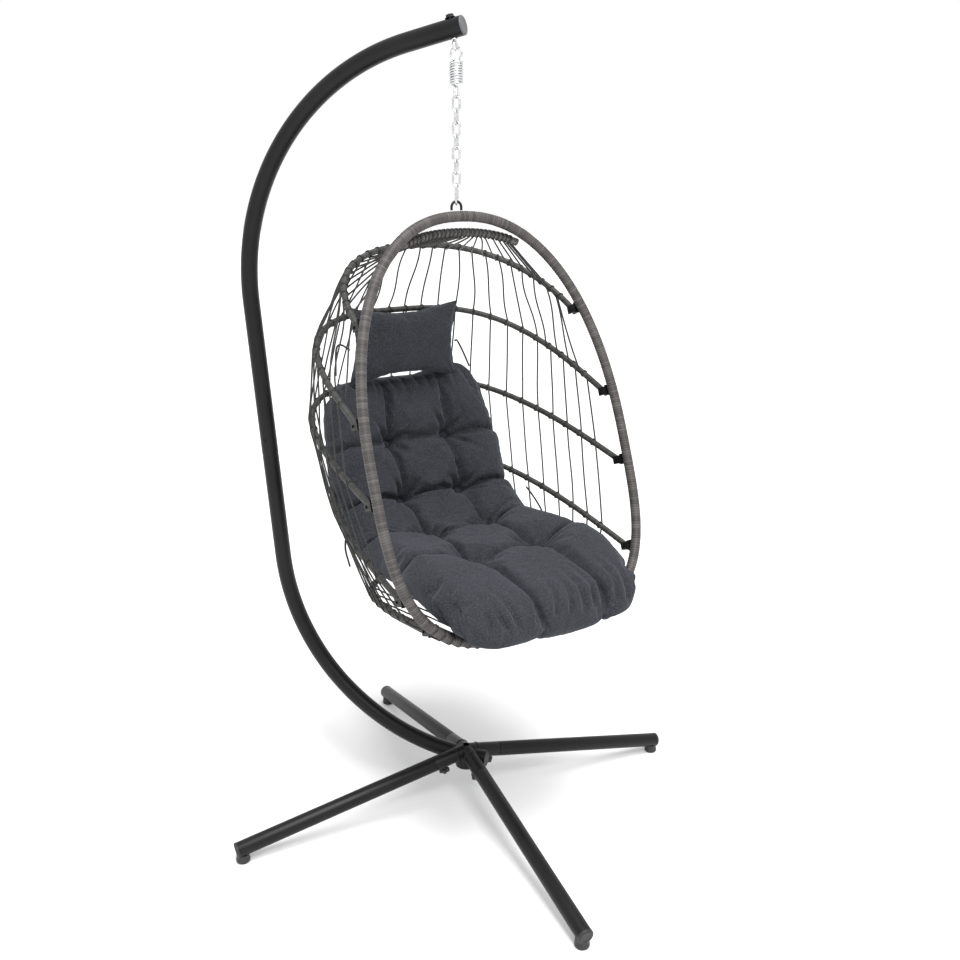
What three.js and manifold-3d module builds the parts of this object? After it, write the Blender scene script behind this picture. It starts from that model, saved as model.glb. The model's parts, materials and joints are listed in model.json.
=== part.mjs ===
// Hanging egg chair: a folding basket of hinged ribs hangs by a spring and a chain from a C-shaped
// pole on a four-legged cross base. Millimetres, +Z up, the pole bulges towards +Y, the legs stand
// on z = 0, and the origin is the middle of the whole chair's footprint.
import * as THREE from "three";
import { mergeVertices } from "three/addons/utils/BufferGeometryUtils.js";
import Module from "manifold-3d";

const wasm = await Module();
wasm.setup();

const GAP = 0.3; // clearance left between touching pieces
const TUBE_SIDES = 14; // facets round the frame's tubes and turned parts
const WIRE_SIDES = 6; // facets round cords and wire
const PIN_SIDES = 8; // facets round pins, screws and their holes
const DEG = Math.PI / 180;
const UP = new THREE.Vector3(0, 0, 1);

// Stand
const LEG = { reach: 607, radius: 19, wall: 2, endHeight: 34, hubHeight: 152, socketEnd: 94 };
const SPIGOT = { radius: 16.4, wall: 2, length: 36 };
const POLE = {
  radius: 21, wall: 2, baseHeight: 140, baseFront: -58, arcStart: -14.5, lean: 4.7 * DEG,
  lowerRadius: 542, straight: 672, upperRadius: 552.5, upperSweep: 82.6 * DEG, tip: 137, joint: 273,
};
const COUPLING = { radius: 18.6, wall: 2, length: 90 };
const EYE = { setback: 24, shankRadius: 4, ringRadius: 9, wireRadius: 3.5, drop: 36, nutRise: 24 };

// Suspension
const WIRE = 2.25; // spring wire radius
const SPRING = { coils: 9, radius: 13.5, top: 1850, bottom: 1801, hookRadius: 13 };
const LINK = { length: 37, width: 21, wireRadius: 2.5, count: 7, top: 1779.8 };
const QUICK_LINK = { length: 50, width: 24, wireRadius: 2.5, turn: 14 * DEG };
const RING = { radius: 13, wireRadius: 3 };

// Basket, in its own frame: X to the sitter's left, Y backwards from the rim plane, Z up along the
// rim from its top. It hangs turned, tipped back and a degree down on one side.
const HANG = { yaw: -38 * DEG, tilt: 19.5 * DEG, list: 1 * DEG, ringOffset: 14, rimTop: 1519.8 };
const RIM = { height: 965, widest: 560, halfWidth: 346, crown: 2.26, base: 3.4, radius: 12 };
const RIB_RADIUS = 7.5;
const PIVOT = { depth: 35, pinRadius: 3.5, overhang: 12 };
const RIBS = [
  { drop: 229, reach: 303, rise: 50.6 * DEG, squareness: 2.26 },
  { drop: 441, reach: 478, rise: 42.7 * DEG, squareness: 2.9 },
  { drop: 616, reach: 616, rise: 33.7 * DEG, squareness: 2.8 },
  { drop: 829, reach: 660, rise: 33 * DEG, squareness: 2.7 },
  { drop: 905, reach: 500, rise: 12.3 * DEG, squareness: 2.85 },
];
const BOW = { halfWidth: 160, radius: 9, drop: 30, depth: 27 };
const CORD = { radius: 2.2, strands: 26, standOff: 4, turn: 42 * DEG, edge: 0.07 };
const CUSHION = { halfTop: 205, halfBack: 245, halfSeat: 252, halfThick: 57, curl: 66, offset: 12 };
const TIE = { radius: 2.5, sides: 8 };
const PILLOW = { width: 306, height: 186, thickness: 92, drop: 206, depth: 384, tilt: 24 * DEG };

const finishes = {
  frame: { color: 0x1b1b1c, roughness: 0.42, metalness: 0.3 },
  plastic: { color: 0x141414, roughness: 0.6, metalness: 0 },
  capGrey: { color: 0x5f6163, roughness: 0.55, metalness: 0 },
  zinc: { color: 0xb9bcc0, roughness: 0.3, metalness: 1 },
  rattan: { color: 0x6f6a66, roughness: 0.65, metalness: 0 },
  ribWrap: { color: 0x3f3f3d, roughness: 0.7, metalness: 0 },
  cord: { color: 0x2c2c2b, roughness: 0.7, metalness: 0 },
  fabric: { color: 0x3a3d44, roughness: 0.95, metalness: 0 },
};

// ---- geometry helpers ----

// A curve that passes through a list of points and is sampled exactly at them.
class Polyline extends THREE.Curve {
  constructor(points) {
    super();
    this.points = points;
  }
  getPoint(t, target = new THREE.Vector3()) {
    const at = Math.min(Math.max(t, 0), 1) * (this.points.length - 1);
    const i = Math.min(Math.floor(at), this.points.length - 2);
    return target.lerpVectors(this.points[i], this.points[i + 1], at - i);
  }
  getPointAt(u, target) {
    return this.getPoint(u, target);
  }
  getTangentAt(u, target = new THREE.Vector3()) {
    const half = 0.5 / (this.points.length - 1);
    return target.subVectors(this.getPoint(u + half), this.getPoint(u - half)).normalize();
  }
}

// A curve given by a function of 0..1.
class FormulaCurve extends THREE.Curve {
  constructor(formula) {
    super();
    this.formula = formula;
  }
  getPoint(t, target = new THREE.Vector3()) {
    return target.copy(this.formula(t));
  }
}

// A round bar or, with a wall, a tube along an open path.
function rod(path, radius, steps, sides, wall = 0) {
  const section = new THREE.Shape().absarc(0, 0, radius, 0, 2 * Math.PI);
  if (wall) section.holes.push(new THREE.Path().absarc(0, 0, radius - wall, 0, 2 * Math.PI, true));
  return new THREE.ExtrudeGeometry(section, { steps, extrudePath: path, curveSegments: sides / 2 });
}

function straightRod(from, to, radius, sides, wall = 0) {
  return rod(new THREE.LineCurve3(from, to), radius, 1, sides, wall);
}

// A tube on a closed path, such as a chain link.
function ringRod(path, radius, steps, sides) {
  return new THREE.TubeGeometry(path, steps, radius, sides, true);
}

// A turned piece on +Z from a closed profile of [radius, height] pairs.
function turned(profile, sides) {
  return new THREE.LatheGeometry(profile.map(([r, z]) => new THREE.Vector2(r, z)), sides).rotateX(
    Math.PI / 2,
  );
}

function pipe(outer, inner, low, high, sides) {
  return turned([[inner, low], [outer, low], [outer, high], [inner, high], [inner, low]], sides);
}

function cylinder(radius, low, high, sides) {
  return turned([[0, low], [radius, low], [radius, high], [0, high]], sides);
}

function box(width, depth, height, centre) {
  return new THREE.BoxGeometry(width, depth, height).translate(centre.x, centre.y, centre.z);
}

function solid(geometry) {
  const bare = geometry.clone();
  for (const name of ["normal", "uv"]) bare.deleteAttribute(name);
  const merged = mergeVertices(bare, 1e-3);
  const made = new wasm.Manifold(
    new wasm.Mesh({
      numProp: 3,
      vertProperties: merged.attributes.position.array,
      triVerts: new Uint32Array(merged.index.array),
    }),
  );
  return made;
}

function surface(manifold) {
  const mesh = manifold.getMesh();
  const geometry = new THREE.BufferGeometry();
  geometry.setAttribute("position", new THREE.BufferAttribute(mesh.vertProperties, 3));
  geometry.setIndex(new THREE.BufferAttribute(mesh.triVerts, 1));
  geometry.computeVertexNormals();
  return geometry;
}

function joined(...geometries) {
  return surface(geometries.map(solid).reduce((a, b) => a.add(b)));
}

function cut(geometry, ...tools) {
  return surface(tools.map(solid).reduce((a, b) => a.subtract(b), solid(geometry)));
}

function piece(name, geometry, finish, parent) {
  const mesh = new THREE.Mesh(geometry, new THREE.MeshStandardMaterial(finishes[finish]));
  mesh.name = name;
  parent.add(mesh);
  return mesh;
}

const root = new THREE.Group();

// ---- base ----

// Each leg lies along +Z of its own group, which runs from the hub down and out to the foot.
const LEG_SLOPE = Math.atan2(LEG.hubHeight - LEG.endHeight, LEG.reach);
const LEG_LENGTH = Math.hypot(LEG.reach, LEG.hubHeight - LEG.endHeight);
const LEG_TURNS = { rear_left: 135, front_left: 225, front_right: 315, rear_right: 45 };

function legFrame(turn) {
  const group = new THREE.Group();
  group.position.set(0, 0, LEG.hubHeight);
  group.rotation.set(0, Math.PI / 2 + LEG_SLOPE, turn * DEG, "ZYX");
  group.updateMatrixWorld(true);
  root.add(group);
  return group;
}

function legTube() {
  const start = LEG.socketEnd + GAP;
  const inner = LEG.radius - LEG.wall;
  const spigotInner = SPIGOT.radius - SPIGOT.wall;
  const profile = [
    [spigotInner, start - SPIGOT.length],
    [SPIGOT.radius, start - SPIGOT.length],
    [SPIGOT.radius, start],
    [LEG.radius, start],
    [LEG.radius, LEG_LENGTH],
    [inner, LEG_LENGTH],
    [inner, start + 6],
    [spigotInner, start - 6],
    [spigotInner, start - SPIGOT.length],
  ];
  return turned(profile, TUBE_SIDES);
}

const CAP_LENGTH = 8;
const PAD = { radius: 17, inset: 9, edge: 3 };

// A cap plugs the leg's end and carries the round pad that stands on the floor: one moulding.
function footCap(frame) {
  const inner = LEG.radius - LEG.wall - GAP;
  const end = LEG_LENGTH + GAP;
  const cap = turned(
    [[0, LEG_LENGTH - 18], [inner, LEG_LENGTH - 18], [inner, end], [LEG.radius, end],
      [LEG.radius, end + CAP_LENGTH - 3], [LEG.radius - 3, end + CAP_LENGTH], [0, end + CAP_LENGTH]],
    TUBE_SIDES,
  );
  const top = new THREE.Vector3(0, 0, LEG_LENGTH - PAD.inset).applyMatrix4(frame.matrixWorld);
  const pad = turned(
    [[0, 0], [PAD.radius - PAD.edge, 0], [PAD.radius, PAD.edge], [PAD.radius, top.z], [0, top.z]],
    TUBE_SIDES,
  ).translate(top.x, top.y, 0);
  const legSpace = cylinder(LEG.radius + GAP, 0, end, TUBE_SIDES).applyMatrix4(frame.matrixWorld);
  return joined(cap.applyMatrix4(frame.matrixWorld), cut(pad, legSpace));
}

// A clamp knob: a lobed grip below the socket, with a screw that reaches up to the leg's spigot.
const KNOB = {
  along: 70, lobes: 5, grip: 12, lobeDepth: 2.2, gripHeight: 11, collar: 3.5, screwRadius: 3,
};
const SOCKET_DEPTH = 54; // how near the hub's axis the sockets' bores reach

function knobGeometry() {
  const outline = new THREE.Shape();
  const steps = KNOB.lobes * 4;
  for (let i = 0; i < steps; i++) {
    const angle = (i / steps) * 2 * Math.PI;
    const radius = KNOB.grip + KNOB.lobeDepth * Math.cos(KNOB.lobes * angle);
    outline[i ? "lineTo" : "moveTo"](radius * Math.cos(angle), radius * Math.sin(angle));
  }
  outline.closePath();
  const grip = new THREE.ExtrudeGeometry(outline, { depth: KNOB.gripHeight, bevelEnabled: false });
  const collar = cylinder(7, KNOB.gripHeight - 1, KNOB.gripHeight + KNOB.collar, PIN_SIDES);
  const screw = cylinder(KNOB.screwRadius, KNOB.gripHeight, KNOB.gripHeight + KNOB.collar + 2, PIN_SIDES);
  return joined(grip, collar, screw);
}

function buildBase() {
  const poleSpace = rod(
    new Polyline(lowerPolePath().slice(0, 6)), POLE.radius + GAP, 5, TUBE_SIDES,
  );
  const core = cylinder(28, LEG.hubHeight - 42, LEG.hubHeight - 6, TUBE_SIDES);
  const sockets = [];
  const hollows = [poleSpace];
  for (const [name, turn] of Object.entries(LEG_TURNS)) {
    const frame = legFrame(turn);
    const socket = cylinder(LEG.radius, 0, LEG.socketEnd, TUBE_SIDES);
    const bore = cylinder(LEG.radius - LEG.wall, SOCKET_DEPTH, LEG.socketEnd + 1, TUBE_SIDES);
    const screwHole = cylinder(KNOB.screwRadius + GAP, 0, 40, PIN_SIDES)
      .rotateY(Math.PI / 2)
      .translate(0, 0, KNOB.along);
    sockets.push(socket.applyMatrix4(frame.matrixWorld));
    hollows.push(joined(bore, screwHole).applyMatrix4(frame.matrixWorld));
    piece(`leg_${name}`, legTube(), "frame", frame);
    piece(`foot_cap_${name}`, footCap(frame), "plastic", root);
    const knob = piece(`clamp_knob_${name}`, knobGeometry(), "plastic", frame);
    knob.rotation.y = -Math.PI / 2;
    knob.position.set(LEG.radius + KNOB.gripHeight + KNOB.collar + GAP, 0, KNOB.along);
  }
  piece("base_hub", cut(joined(core, ...sockets), ...hollows), "frame", root);
}

// ---- pole ----

// Points of the pole's axis in the YZ plane, from the front of the base round to the tip.
function poleStations() {
  const turn = Math.PI / 2 - POLE.lean;
  const lowArc = { y: POLE.arcStart, z: POLE.baseHeight + POLE.lowerRadius };
  const start = new THREE.Vector3(
    0,
    lowArc.y + POLE.lowerRadius * Math.sin(turn),
    lowArc.z - POLE.lowerRadius * Math.cos(turn),
  );
  const along = new THREE.Vector3(0, Math.cos(turn), Math.sin(turn));
  const joint = start.clone().addScaledVector(along, POLE.joint);
  const end = start.clone().addScaledVector(along, POLE.straight);
  const highArc = new THREE.Vector3(0, -Math.sin(turn), Math.cos(turn))
    .multiplyScalar(POLE.upperRadius)
    .add(end);
  return { turn, lowArc, along, joint, end, highArc };
}

const pole = poleStations();

function lowerPolePath() {
  const points = [new THREE.Vector3(0, POLE.baseFront, POLE.baseHeight)];
  const steps = 12;
  for (let i = 0; i <= steps; i++) {
    const angle = (pole.turn * i) / steps;
    points.push(
      new THREE.Vector3(
        0,
        pole.lowArc.y + POLE.lowerRadius * Math.sin(angle),
        pole.lowArc.z - POLE.lowerRadius * Math.cos(angle),
      ),
    );
  }
  points.push(pole.joint);
  return points;
}

function upperPolePath() {
  const points = [pole.joint.clone().addScaledVector(pole.along, GAP), pole.end];
  const steps = 12;
  for (let i = 1; i <= steps; i++) {
    const angle = pole.turn + (POLE.upperSweep * i) / steps;
    points.push(
      new THREE.Vector3(
        0,
        pole.highArc.y + POLE.upperRadius * Math.sin(angle),
        pole.highArc.z - POLE.upperRadius * Math.cos(angle),
      ),
    );
  }
  const last = pole.turn + POLE.upperSweep;
  const ahead = new THREE.Vector3(0, Math.cos(last), Math.sin(last));
  points.push(points.at(-1).clone().addScaledVector(ahead, POLE.tip));
  return { points, ahead };
}

function poleTube(points) {
  return rod(new Polyline(points), POLE.radius, points.length - 1, TUBE_SIDES, POLE.wall);
}

const tipAhead = upperPolePath().ahead;
const tipEnd = upperPolePath().points.at(-1);

// A group whose +Z leaves the pole's axis upwards and square to it, a distance back from the tip.
function tipFrame(setback) {
  const group = new THREE.Group();
  group.position.copy(tipEnd).addScaledVector(tipAhead, -setback);
  group.rotation.x = -Math.atan2(tipAhead.z, -tipAhead.y);
  root.add(group);
  return group;
}

function buildPole() {
  const lower = lowerPolePath();
  const upper = upperPolePath().points;
  const up = (distance) => pole.joint.clone().addScaledVector(pole.along, distance);
  const bore = COUPLING.radius - COUPLING.wall;
  const collarRadius = POLE.radius - POLE.wall / 2;
  const coupling = joined(
    straightRod(up(-12), up(COUPLING.length), COUPLING.radius, TUBE_SIDES, COUPLING.wall),
    straightRod(up(-12), up(-2), collarRadius, TUBE_SIDES, collarRadius - bore),
  );
  const eyeHole = cylinder(EYE.shankRadius + GAP, -40, 40, PIN_SIDES);
  const eyeFrame = tipFrame(EYE.setback);
  eyeFrame.updateMatrixWorld(true);
  piece("lower_pole", joined(poleTube(lower), coupling), "frame", root);
  piece("upper_pole", cut(poleTube(upper), eyeHole.applyMatrix4(eyeFrame.matrixWorld)), "frame", root);

  const screw = turned([[0, 0], [5, 0], [5, 2], [3, 4], [0, 4]], PIN_SIDES);
  const screwMesh = piece("pole_screw", screw, "frame", root);
  screwMesh.position.copy(pole.joint).addScaledVector(pole.along, 45);
  screwMesh.position.x = -POLE.radius - GAP;
  screwMesh.rotation.y = -Math.PI / 2;

  const inner = POLE.radius - POLE.wall - 3 * GAP;
  const plug = turned(
    [[0, -14], [inner, -14], [inner, GAP], [POLE.radius, GAP], [POLE.radius, 3],
      [POLE.radius - 2, 5], [0, 5]],
    TUBE_SIDES,
  );
  const plugMesh = piece("pole_end_cap", plug, "capGrey", tipFrame(0));
  plugMesh.rotation.x = Math.PI / 2;

  const shank = cylinder(EYE.shankRadius, -EYE.drop + EYE.ringRadius, EYE.nutRise + 7, PIN_SIDES);
  const collar = cylinder(8, -POLE.radius - 3, -POLE.radius - GAP, PIN_SIDES);
  const loop = new THREE.TorusGeometry(EYE.ringRadius, EYE.wireRadius, PIN_SIDES, 16)
    .rotateX(Math.PI / 2)
    .translate(0, 0, -EYE.drop);
  piece("eye_bolt", joined(shank, collar, loop), "zinc", eyeFrame);
  const washer = pipe(12, EYE.shankRadius + GAP, POLE.radius + GAP, EYE.nutRise - 1, PIN_SIDES);
  const nut = pipe(9, EYE.shankRadius + 3 * GAP, EYE.nutRise - 1.5, EYE.nutRise + 5, 6);
  piece("eye_bolt_nut", joined(washer, nut), "frame", eyeFrame);
  return new THREE.Vector3(0, 0, -EYE.drop - EYE.ringRadius).applyMatrix4(eyeFrame.matrixWorld);
}

// ---- spring and chain, hanging straight down from the eye ----

// The spring's wire: a hook facing sideways, the coils, and a hook turned a quarter from the first.
function springPath(topHook, lowHook) {
  const points = [];
  const perCoil = 8;
  const steps = (SPRING.coils + 0.25) * perCoil;
  const hook = (centreZ, from, to, side) => {
    for (let i = 0; i < 10; i++) {
      const angle = from + ((to - from) * i) / 9;
      const out = SPRING.hookRadius * Math.sin(angle);
      const up = centreZ + SPRING.hookRadius * Math.cos(angle);
      points.push(side ? new THREE.Vector3(out, 0, up) : new THREE.Vector3(0, out, up));
    }
  };
  hook(topHook, -150 * DEG, 165 * DEG, false);
  for (let i = 2; i <= steps - 2; i++) {
    const angle = (i / perCoil) * 2 * Math.PI;
    points.push(
      new THREE.Vector3(
        SPRING.radius * Math.sin(angle),
        SPRING.radius * Math.cos(angle),
        SPRING.top - ((SPRING.top - SPRING.bottom) * i) / steps,
      ),
    );
  }
  hook(lowHook, 15 * DEG, 330 * DEG, true);
  return points;
}

// A link's centre line is two half circles joined by straights, standing on its end.
function linkPath(length, width, wireRadius) {
  const bend = width / 2 - wireRadius;
  const straight = length / 2 - width / 2;
  return new FormulaCurve((t) => {
    const quarter = (t * 4 + 0.5) % 4;
    const side = Math.floor(quarter);
    const part = quarter - side;
    if (side === 1) return new THREE.Vector3(-bend, 0, straight * (1 - 2 * part));
    if (side === 3) return new THREE.Vector3(bend, 0, straight * (2 * part - 1));
    const angle = (side ? Math.PI : 0) + part * Math.PI;
    return new THREE.Vector3(
      bend * Math.cos(angle),
      0,
      (side ? -straight : straight) + bend * Math.sin(angle),
    );
  });
}

function buildSuspension() {
  const hanger = new THREE.Group();
  hanger.position.set(eye.x, eye.y, 0);
  root.add(hanger);
  const hookRest = eye.z + EYE.wireRadius + WIRE + GAP;
  const topHook = hookRest - SPRING.hookRadius;
  const lowHook = LINK.top - 2 * LINK.wireRadius - WIRE - GAP + SPRING.hookRadius;
  const points = springPath(topHook, lowHook);
  piece("suspension_spring", rod(new Polyline(points), WIRE, points.length - 1, WIRE_SIDES), "zinc", hanger);

  const pitch = LINK.length - 4 * LINK.wireRadius - GAP;
  for (let i = 0; i < LINK.count; i++) {
    const link = piece(
      `chain_link_${i + 1}`,
      ringRod(linkPath(LINK.length, LINK.width, LINK.wireRadius), LINK.wireRadius, 16, WIRE_SIDES),
      "zinc",
      hanger,
    );
    link.position.z = LINK.top - LINK.length / 2 - i * pitch;
    link.rotation.z = i % 2 ? 0 : Math.PI / 2;
  }
  const quickTop = LINK.top - LINK.count * pitch + 2 * GAP;
  const quick = piece(
    "quick_link",
    ringRod(
      linkPath(QUICK_LINK.length, QUICK_LINK.width, QUICK_LINK.wireRadius),
      QUICK_LINK.wireRadius,
      16,
      WIRE_SIDES,
    ),
    "zinc",
    hanger,
  );
  quick.position.z = quickTop - QUICK_LINK.length / 2;
  quick.rotation.z = QUICK_LINK.turn;
  const nut = pipe(5, QUICK_LINK.wireRadius + 3 * GAP, -9, 9, 6);
  const nutMesh = piece("quick_link_nut", nut, "zinc", hanger);
  const side = QUICK_LINK.width / 2 - QUICK_LINK.wireRadius;
  nutMesh.position.set(side, 0, quick.position.z).applyAxisAngle(UP, QUICK_LINK.turn);
  return quickTop - QUICK_LINK.length + 2 * QUICK_LINK.wireRadius + RING.wireRadius + 4 * GAP;
}

// ---- basket ----

// Half-width of the rim at a drop below its top: two half superellipses that meet at the widest.
function rimHalfWidth(drop) {
  const above = drop < RIM.widest;
  const part = above ? (RIM.widest - drop) / RIM.widest
    : (drop - RIM.widest) / (RIM.height - RIM.widest);
  const power = above ? RIM.crown : RIM.base;
  return RIM.halfWidth * (1 - part ** power) ** (1 / power);
}

const power = (value, exponent) => Math.sign(value) * Math.abs(value) ** exponent;

// The rim's centre line: t runs once round from the top, to the sitter's left first.
const rimCurve = new FormulaCurve((t) => {
  const angle = 2 * Math.PI * t;
  const [across, up] = [Math.sin(angle), Math.cos(angle)];
  const above = up > 0;
  const squareness = above ? RIM.crown : RIM.base;
  const reach = above ? RIM.widest : RIM.height - RIM.widest;
  return new THREE.Vector3(
    RIM.halfWidth * power(across, 2 / squareness),
    0,
    -RIM.widest + reach * power(up, 2 / squareness),
  );
});

// A rib's centre line from the sitter's right pivot round the back to the left one.
function ribCurve(rib) {
  const half = rimHalfWidth(rib.drop);
  const lead = PIVOT.overhang;
  const formula = (t) => {
    const angle = Math.PI * t;
    const out = (rib.reach + lead) * power(Math.sin(angle), 2 / rib.squareness) - lead;
    return new THREE.Vector3(
      -half * power(Math.cos(angle), 2 / rib.squareness),
      PIVOT.depth + out * Math.cos(rib.rise),
      -rib.drop + out * Math.sin(rib.rise),
    );
  };
  return new FormulaCurve(formula);
}

const bowCurve = new FormulaCurve((t) => {
  const across = (2 * t - 1) * BOW.halfWidth;
  const fall = RIM.widest * (1 - (1 - (Math.abs(across) / RIM.halfWidth) ** RIM.crown) ** (1 / RIM.crown));
  return new THREE.Vector3(across, BOW.depth, -BOW.drop - 0.6 * fall);
});

// The lowest stretch of the rim, from the sitter's right to the left, that the seat cords reach.
const frontBar = new FormulaCurve((t) => rimCurve.getPoint(0.62 - 0.24 * t));

// A clevis on the rim's back holds a rib's end on a cross pin.
function bracketGeometry() {
  const cheek = RIB_RADIUS + 0.8;
  const base = box(2 * cheek + 6, 4, 26, new THREE.Vector3(0, RIM.radius + GAP + 2, 0));
  const sides = [-1, 1].map((side) =>
    box(3, PIVOT.depth + 8 - RIM.radius - GAP, 20,
      new THREE.Vector3(side * (cheek + 1.5), (PIVOT.depth + 8 + RIM.radius + GAP) / 2, 0)));
  const pin = cylinder(PIVOT.pinRadius, -cheek - 6, cheek + 6, PIN_SIDES)
    .rotateY(Math.PI / 2)
    .translate(0, PIVOT.depth, 0);
  return joined(base, ...sides, pin).translate(0, -PIVOT.depth, 0);
}

function ribGeometry(rib) {
  const tube = rod(ribCurve(rib), RIB_RADIUS, 28, PIN_SIDES);
  const half = rimHalfWidth(rib.drop);
  const bores = [-1, 1].map((side) =>
    cylinder(PIVOT.pinRadius + GAP, -12, 12, PIN_SIDES)
      .rotateY(Math.PI / 2)
      .translate(side * half, PIVOT.depth, -rib.drop));
  return cut(tube, ...bores);
}

// A cord's path through its bends: each section lies on its bend's mitre, so that the straight runs
// between bends keep their full thickness.
class LacedPath extends Polyline {
  constructor(points, outward) {
    super(points);
    this.outward = outward;
  }
  computeFrenetFrames() {
    const { points, outward } = this;
    const last = points.length - 1;
    const runs = points.slice(1).map((point, i) => point.clone().sub(points[i]).normalize());
    const frames = { tangents: [], normals: [], binormals: [] };
    points.forEach((point, i) => {
      const [before, after] = [runs[Math.max(i - 1, 0)], runs[Math.min(i, last - 1)]];
      const tangent = before.clone().add(after).normalize();
      const normal = before === after ? outward[i].clone() : before.clone().cross(after);
      normal.addScaledVector(tangent, -normal.dot(tangent)).normalize();
      if (normal.dot(outward[i]) < 0) normal.negate();
      frames.tangents.push(tangent);
      frames.normals.push(normal);
      frames.binormals.push(tangent.clone().cross(normal).divideScalar(tangent.dot(after)));
    });
    return frames;
  }
}

// One cord laced to and fro between two curves: strands side by side, joined by short runs.
function lacing(upper, lower, upperRadius, lowerRadius) {
  const points = [];
  const outward = [];
  for (let i = 0; i < CORD.strands; i++) {
    const t = CORD.edge + ((1 - 2 * CORD.edge) * i) / (CORD.strands - 1);
    const [high, low] = [upper.getPointAt(t), lower.getPointAt(t)];
    const climb = high.clone().sub(low).normalize();
    const ends = [[upper, high, upperRadius, -1], [lower, low, lowerRadius, 1]];
    if (i % 2) ends.reverse();
    for (const [curve, at, radius, turnTo] of ends) {
      const tangent = curve.getTangentAt(t);
      const out = tangent.clone().cross(climb).normalize();
      const upward = out.clone().cross(tangent);
      if (out.y < 0) out.negate();
      const off = radius + CORD.radius + CORD.standOff;
      outward.push(out);
      points.push(at.clone()
        .addScaledVector(out, off * Math.cos(CORD.turn))
        .addScaledVector(upward, turnTo * off * Math.sin(CORD.turn)));
    }
  }
  return rod(new LacedPath(points, outward), CORD.radius, points.length - 1, WIRE_SIDES);
}

function buildBasket(ringTop) {
  const basket = new THREE.Group();
  basket.rotation.set(-HANG.tilt, -HANG.list, HANG.yaw, "ZXY");
  basket.position.set(HANG.ringOffset, 0, 0).applyAxisAngle(UP, HANG.yaw);
  basket.position.add(new THREE.Vector3(eye.x, eye.y, HANG.rimTop));
  root.add(basket);

  piece("rim", ringRod(rimCurve, RIM.radius, 52, 10), "rattan", basket);
  piece("top_bow", rod(bowCurve, BOW.radius, 12, PIN_SIDES), "rattan", basket);

  const ring = new THREE.Group();
  ring.position.set(eye.x, eye.y, ringTop - RING.radius);
  ring.rotation.z = HANG.yaw;
  root.add(ring);
  const foot = HANG.rimTop + RIM.radius + GAP - ring.position.z + 0.5;
  const archPoints = [new THREE.Vector3(-RING.radius, 0, foot)];
  for (let i = 0; i <= 8; i++) {
    const angle = Math.PI * (1 - i / 8);
    archPoints.push(
      new THREE.Vector3(RING.radius * Math.cos(angle), 0, RING.radius * Math.sin(angle)),
    );
  }
  archPoints.push(new THREE.Vector3(RING.radius, 0, foot));
  piece(
    "hanging_ring",
    rod(new Polyline(archPoints), RING.wireRadius, archPoints.length - 1, PIN_SIDES),
    "frame",
    ring,
  );

  const curves = RIBS.map(ribCurve);
  RIBS.forEach((rib, i) => {
    piece(`rib_${i + 1}`, ribGeometry(rib), "ribWrap", basket);
    for (const [side, name] of [[1, "left"], [-1, "right"]]) {
      const bracket = piece(`rib_bracket_${name}_${i + 1}`, bracketGeometry(), "frame", basket);
      bracket.position.set(side * rimHalfWidth(rib.drop), PIVOT.depth, -rib.drop);
    }
  });

  const lace = (name, ...ends) => piece(name, lacing(...ends), "cord", basket);
  lace("cords_bow_to_rib_1", bowCurve, curves[0], BOW.radius, RIB_RADIUS);
  for (let i = 0; i + 1 < curves.length; i++) {
    lace(`cords_rib_${i + 1}_to_${i + 2}`, curves[i], curves[i + 1], RIB_RADIUS, RIB_RADIUS);
  }
  lace("cords_rib_5_to_rim", curves.at(-1), frontBar, RIB_RADIUS, RIM.radius);

  buildSoftParts(basket);
}

// ---- cushion and pillow ----

// The cushion's middle line, seen from the side, from its top edge down the back to its front lip.
const cushionLine = new THREE.CatmullRomCurve3(
  [[290, 476], [380, 484], [480, 482], [580, 474], [670, 446], [745, 385], [788, 290], [820, 190],
    [852, 90], [885, 20], [915, -50]].map(([drop, depth]) => new THREE.Vector3(0, depth, -drop)),
);

// The cushion is one pad that follows that line; its sides curl towards the sitter.
function cushionGeometry() {
  const shape = new THREE.SphereGeometry(1, 20, 14);
  const position = shape.attributes.position;
  const v = new THREE.Vector3();
  for (let i = 0; i < position.count; i++) {
    v.fromBufferAttribute(position, i);
    const along = (1 - power(v.y, 0.6)) / 2;
    const point = cushionLine.getPointAt(along);
    const tangent = cushionLine.getTangentAt(along);
    const half = THREE.MathUtils.lerp(
      THREE.MathUtils.lerp(CUSHION.halfTop, CUSHION.halfBack, Math.min(along * 4, 1)),
      CUSHION.halfSeat,
      Math.max(along * 2 - 1, 0),
    );
    const across = power(v.x, 0.55);
    const under = -CUSHION.halfThick * power(v.z, 0.8) - CUSHION.curl * across ** 2;
    position.setXYZ(
      i,
      CUSHION.offset + half * across,
      point.y - under * tangent.z,
      point.z + under * tangent.y,
    );
  }
  return shape;
}

// A pillow is fullest in the middle and thin towards its four peaked corners.
function pillowGeometry() {
  const shape = new THREE.SphereGeometry(1, 20, 12);
  const position = shape.attributes.position;
  const v = new THREE.Vector3();
  for (let i = 0; i < position.count; i++) {
    v.fromBufferAttribute(position, i);
    position.setXYZ(
      i,
      (PILLOW.width / 2) * power(v.x, 0.6),
      (PILLOW.thickness / 2) * v.y,
      (PILLOW.height / 2) * power(v.z, 0.6),
    );
  }
  return shape;
}

// Points given as [across, drop, depth] in the basket's frame.
function tieGeometry(points) {
  const path = new THREE.CatmullRomCurve3(
    points.map(([across, drop, depth]) => new THREE.Vector3(across, depth, -drop)),
  );
  return rod(path, TIE.radius, 14, TIE.sides);
}

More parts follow.
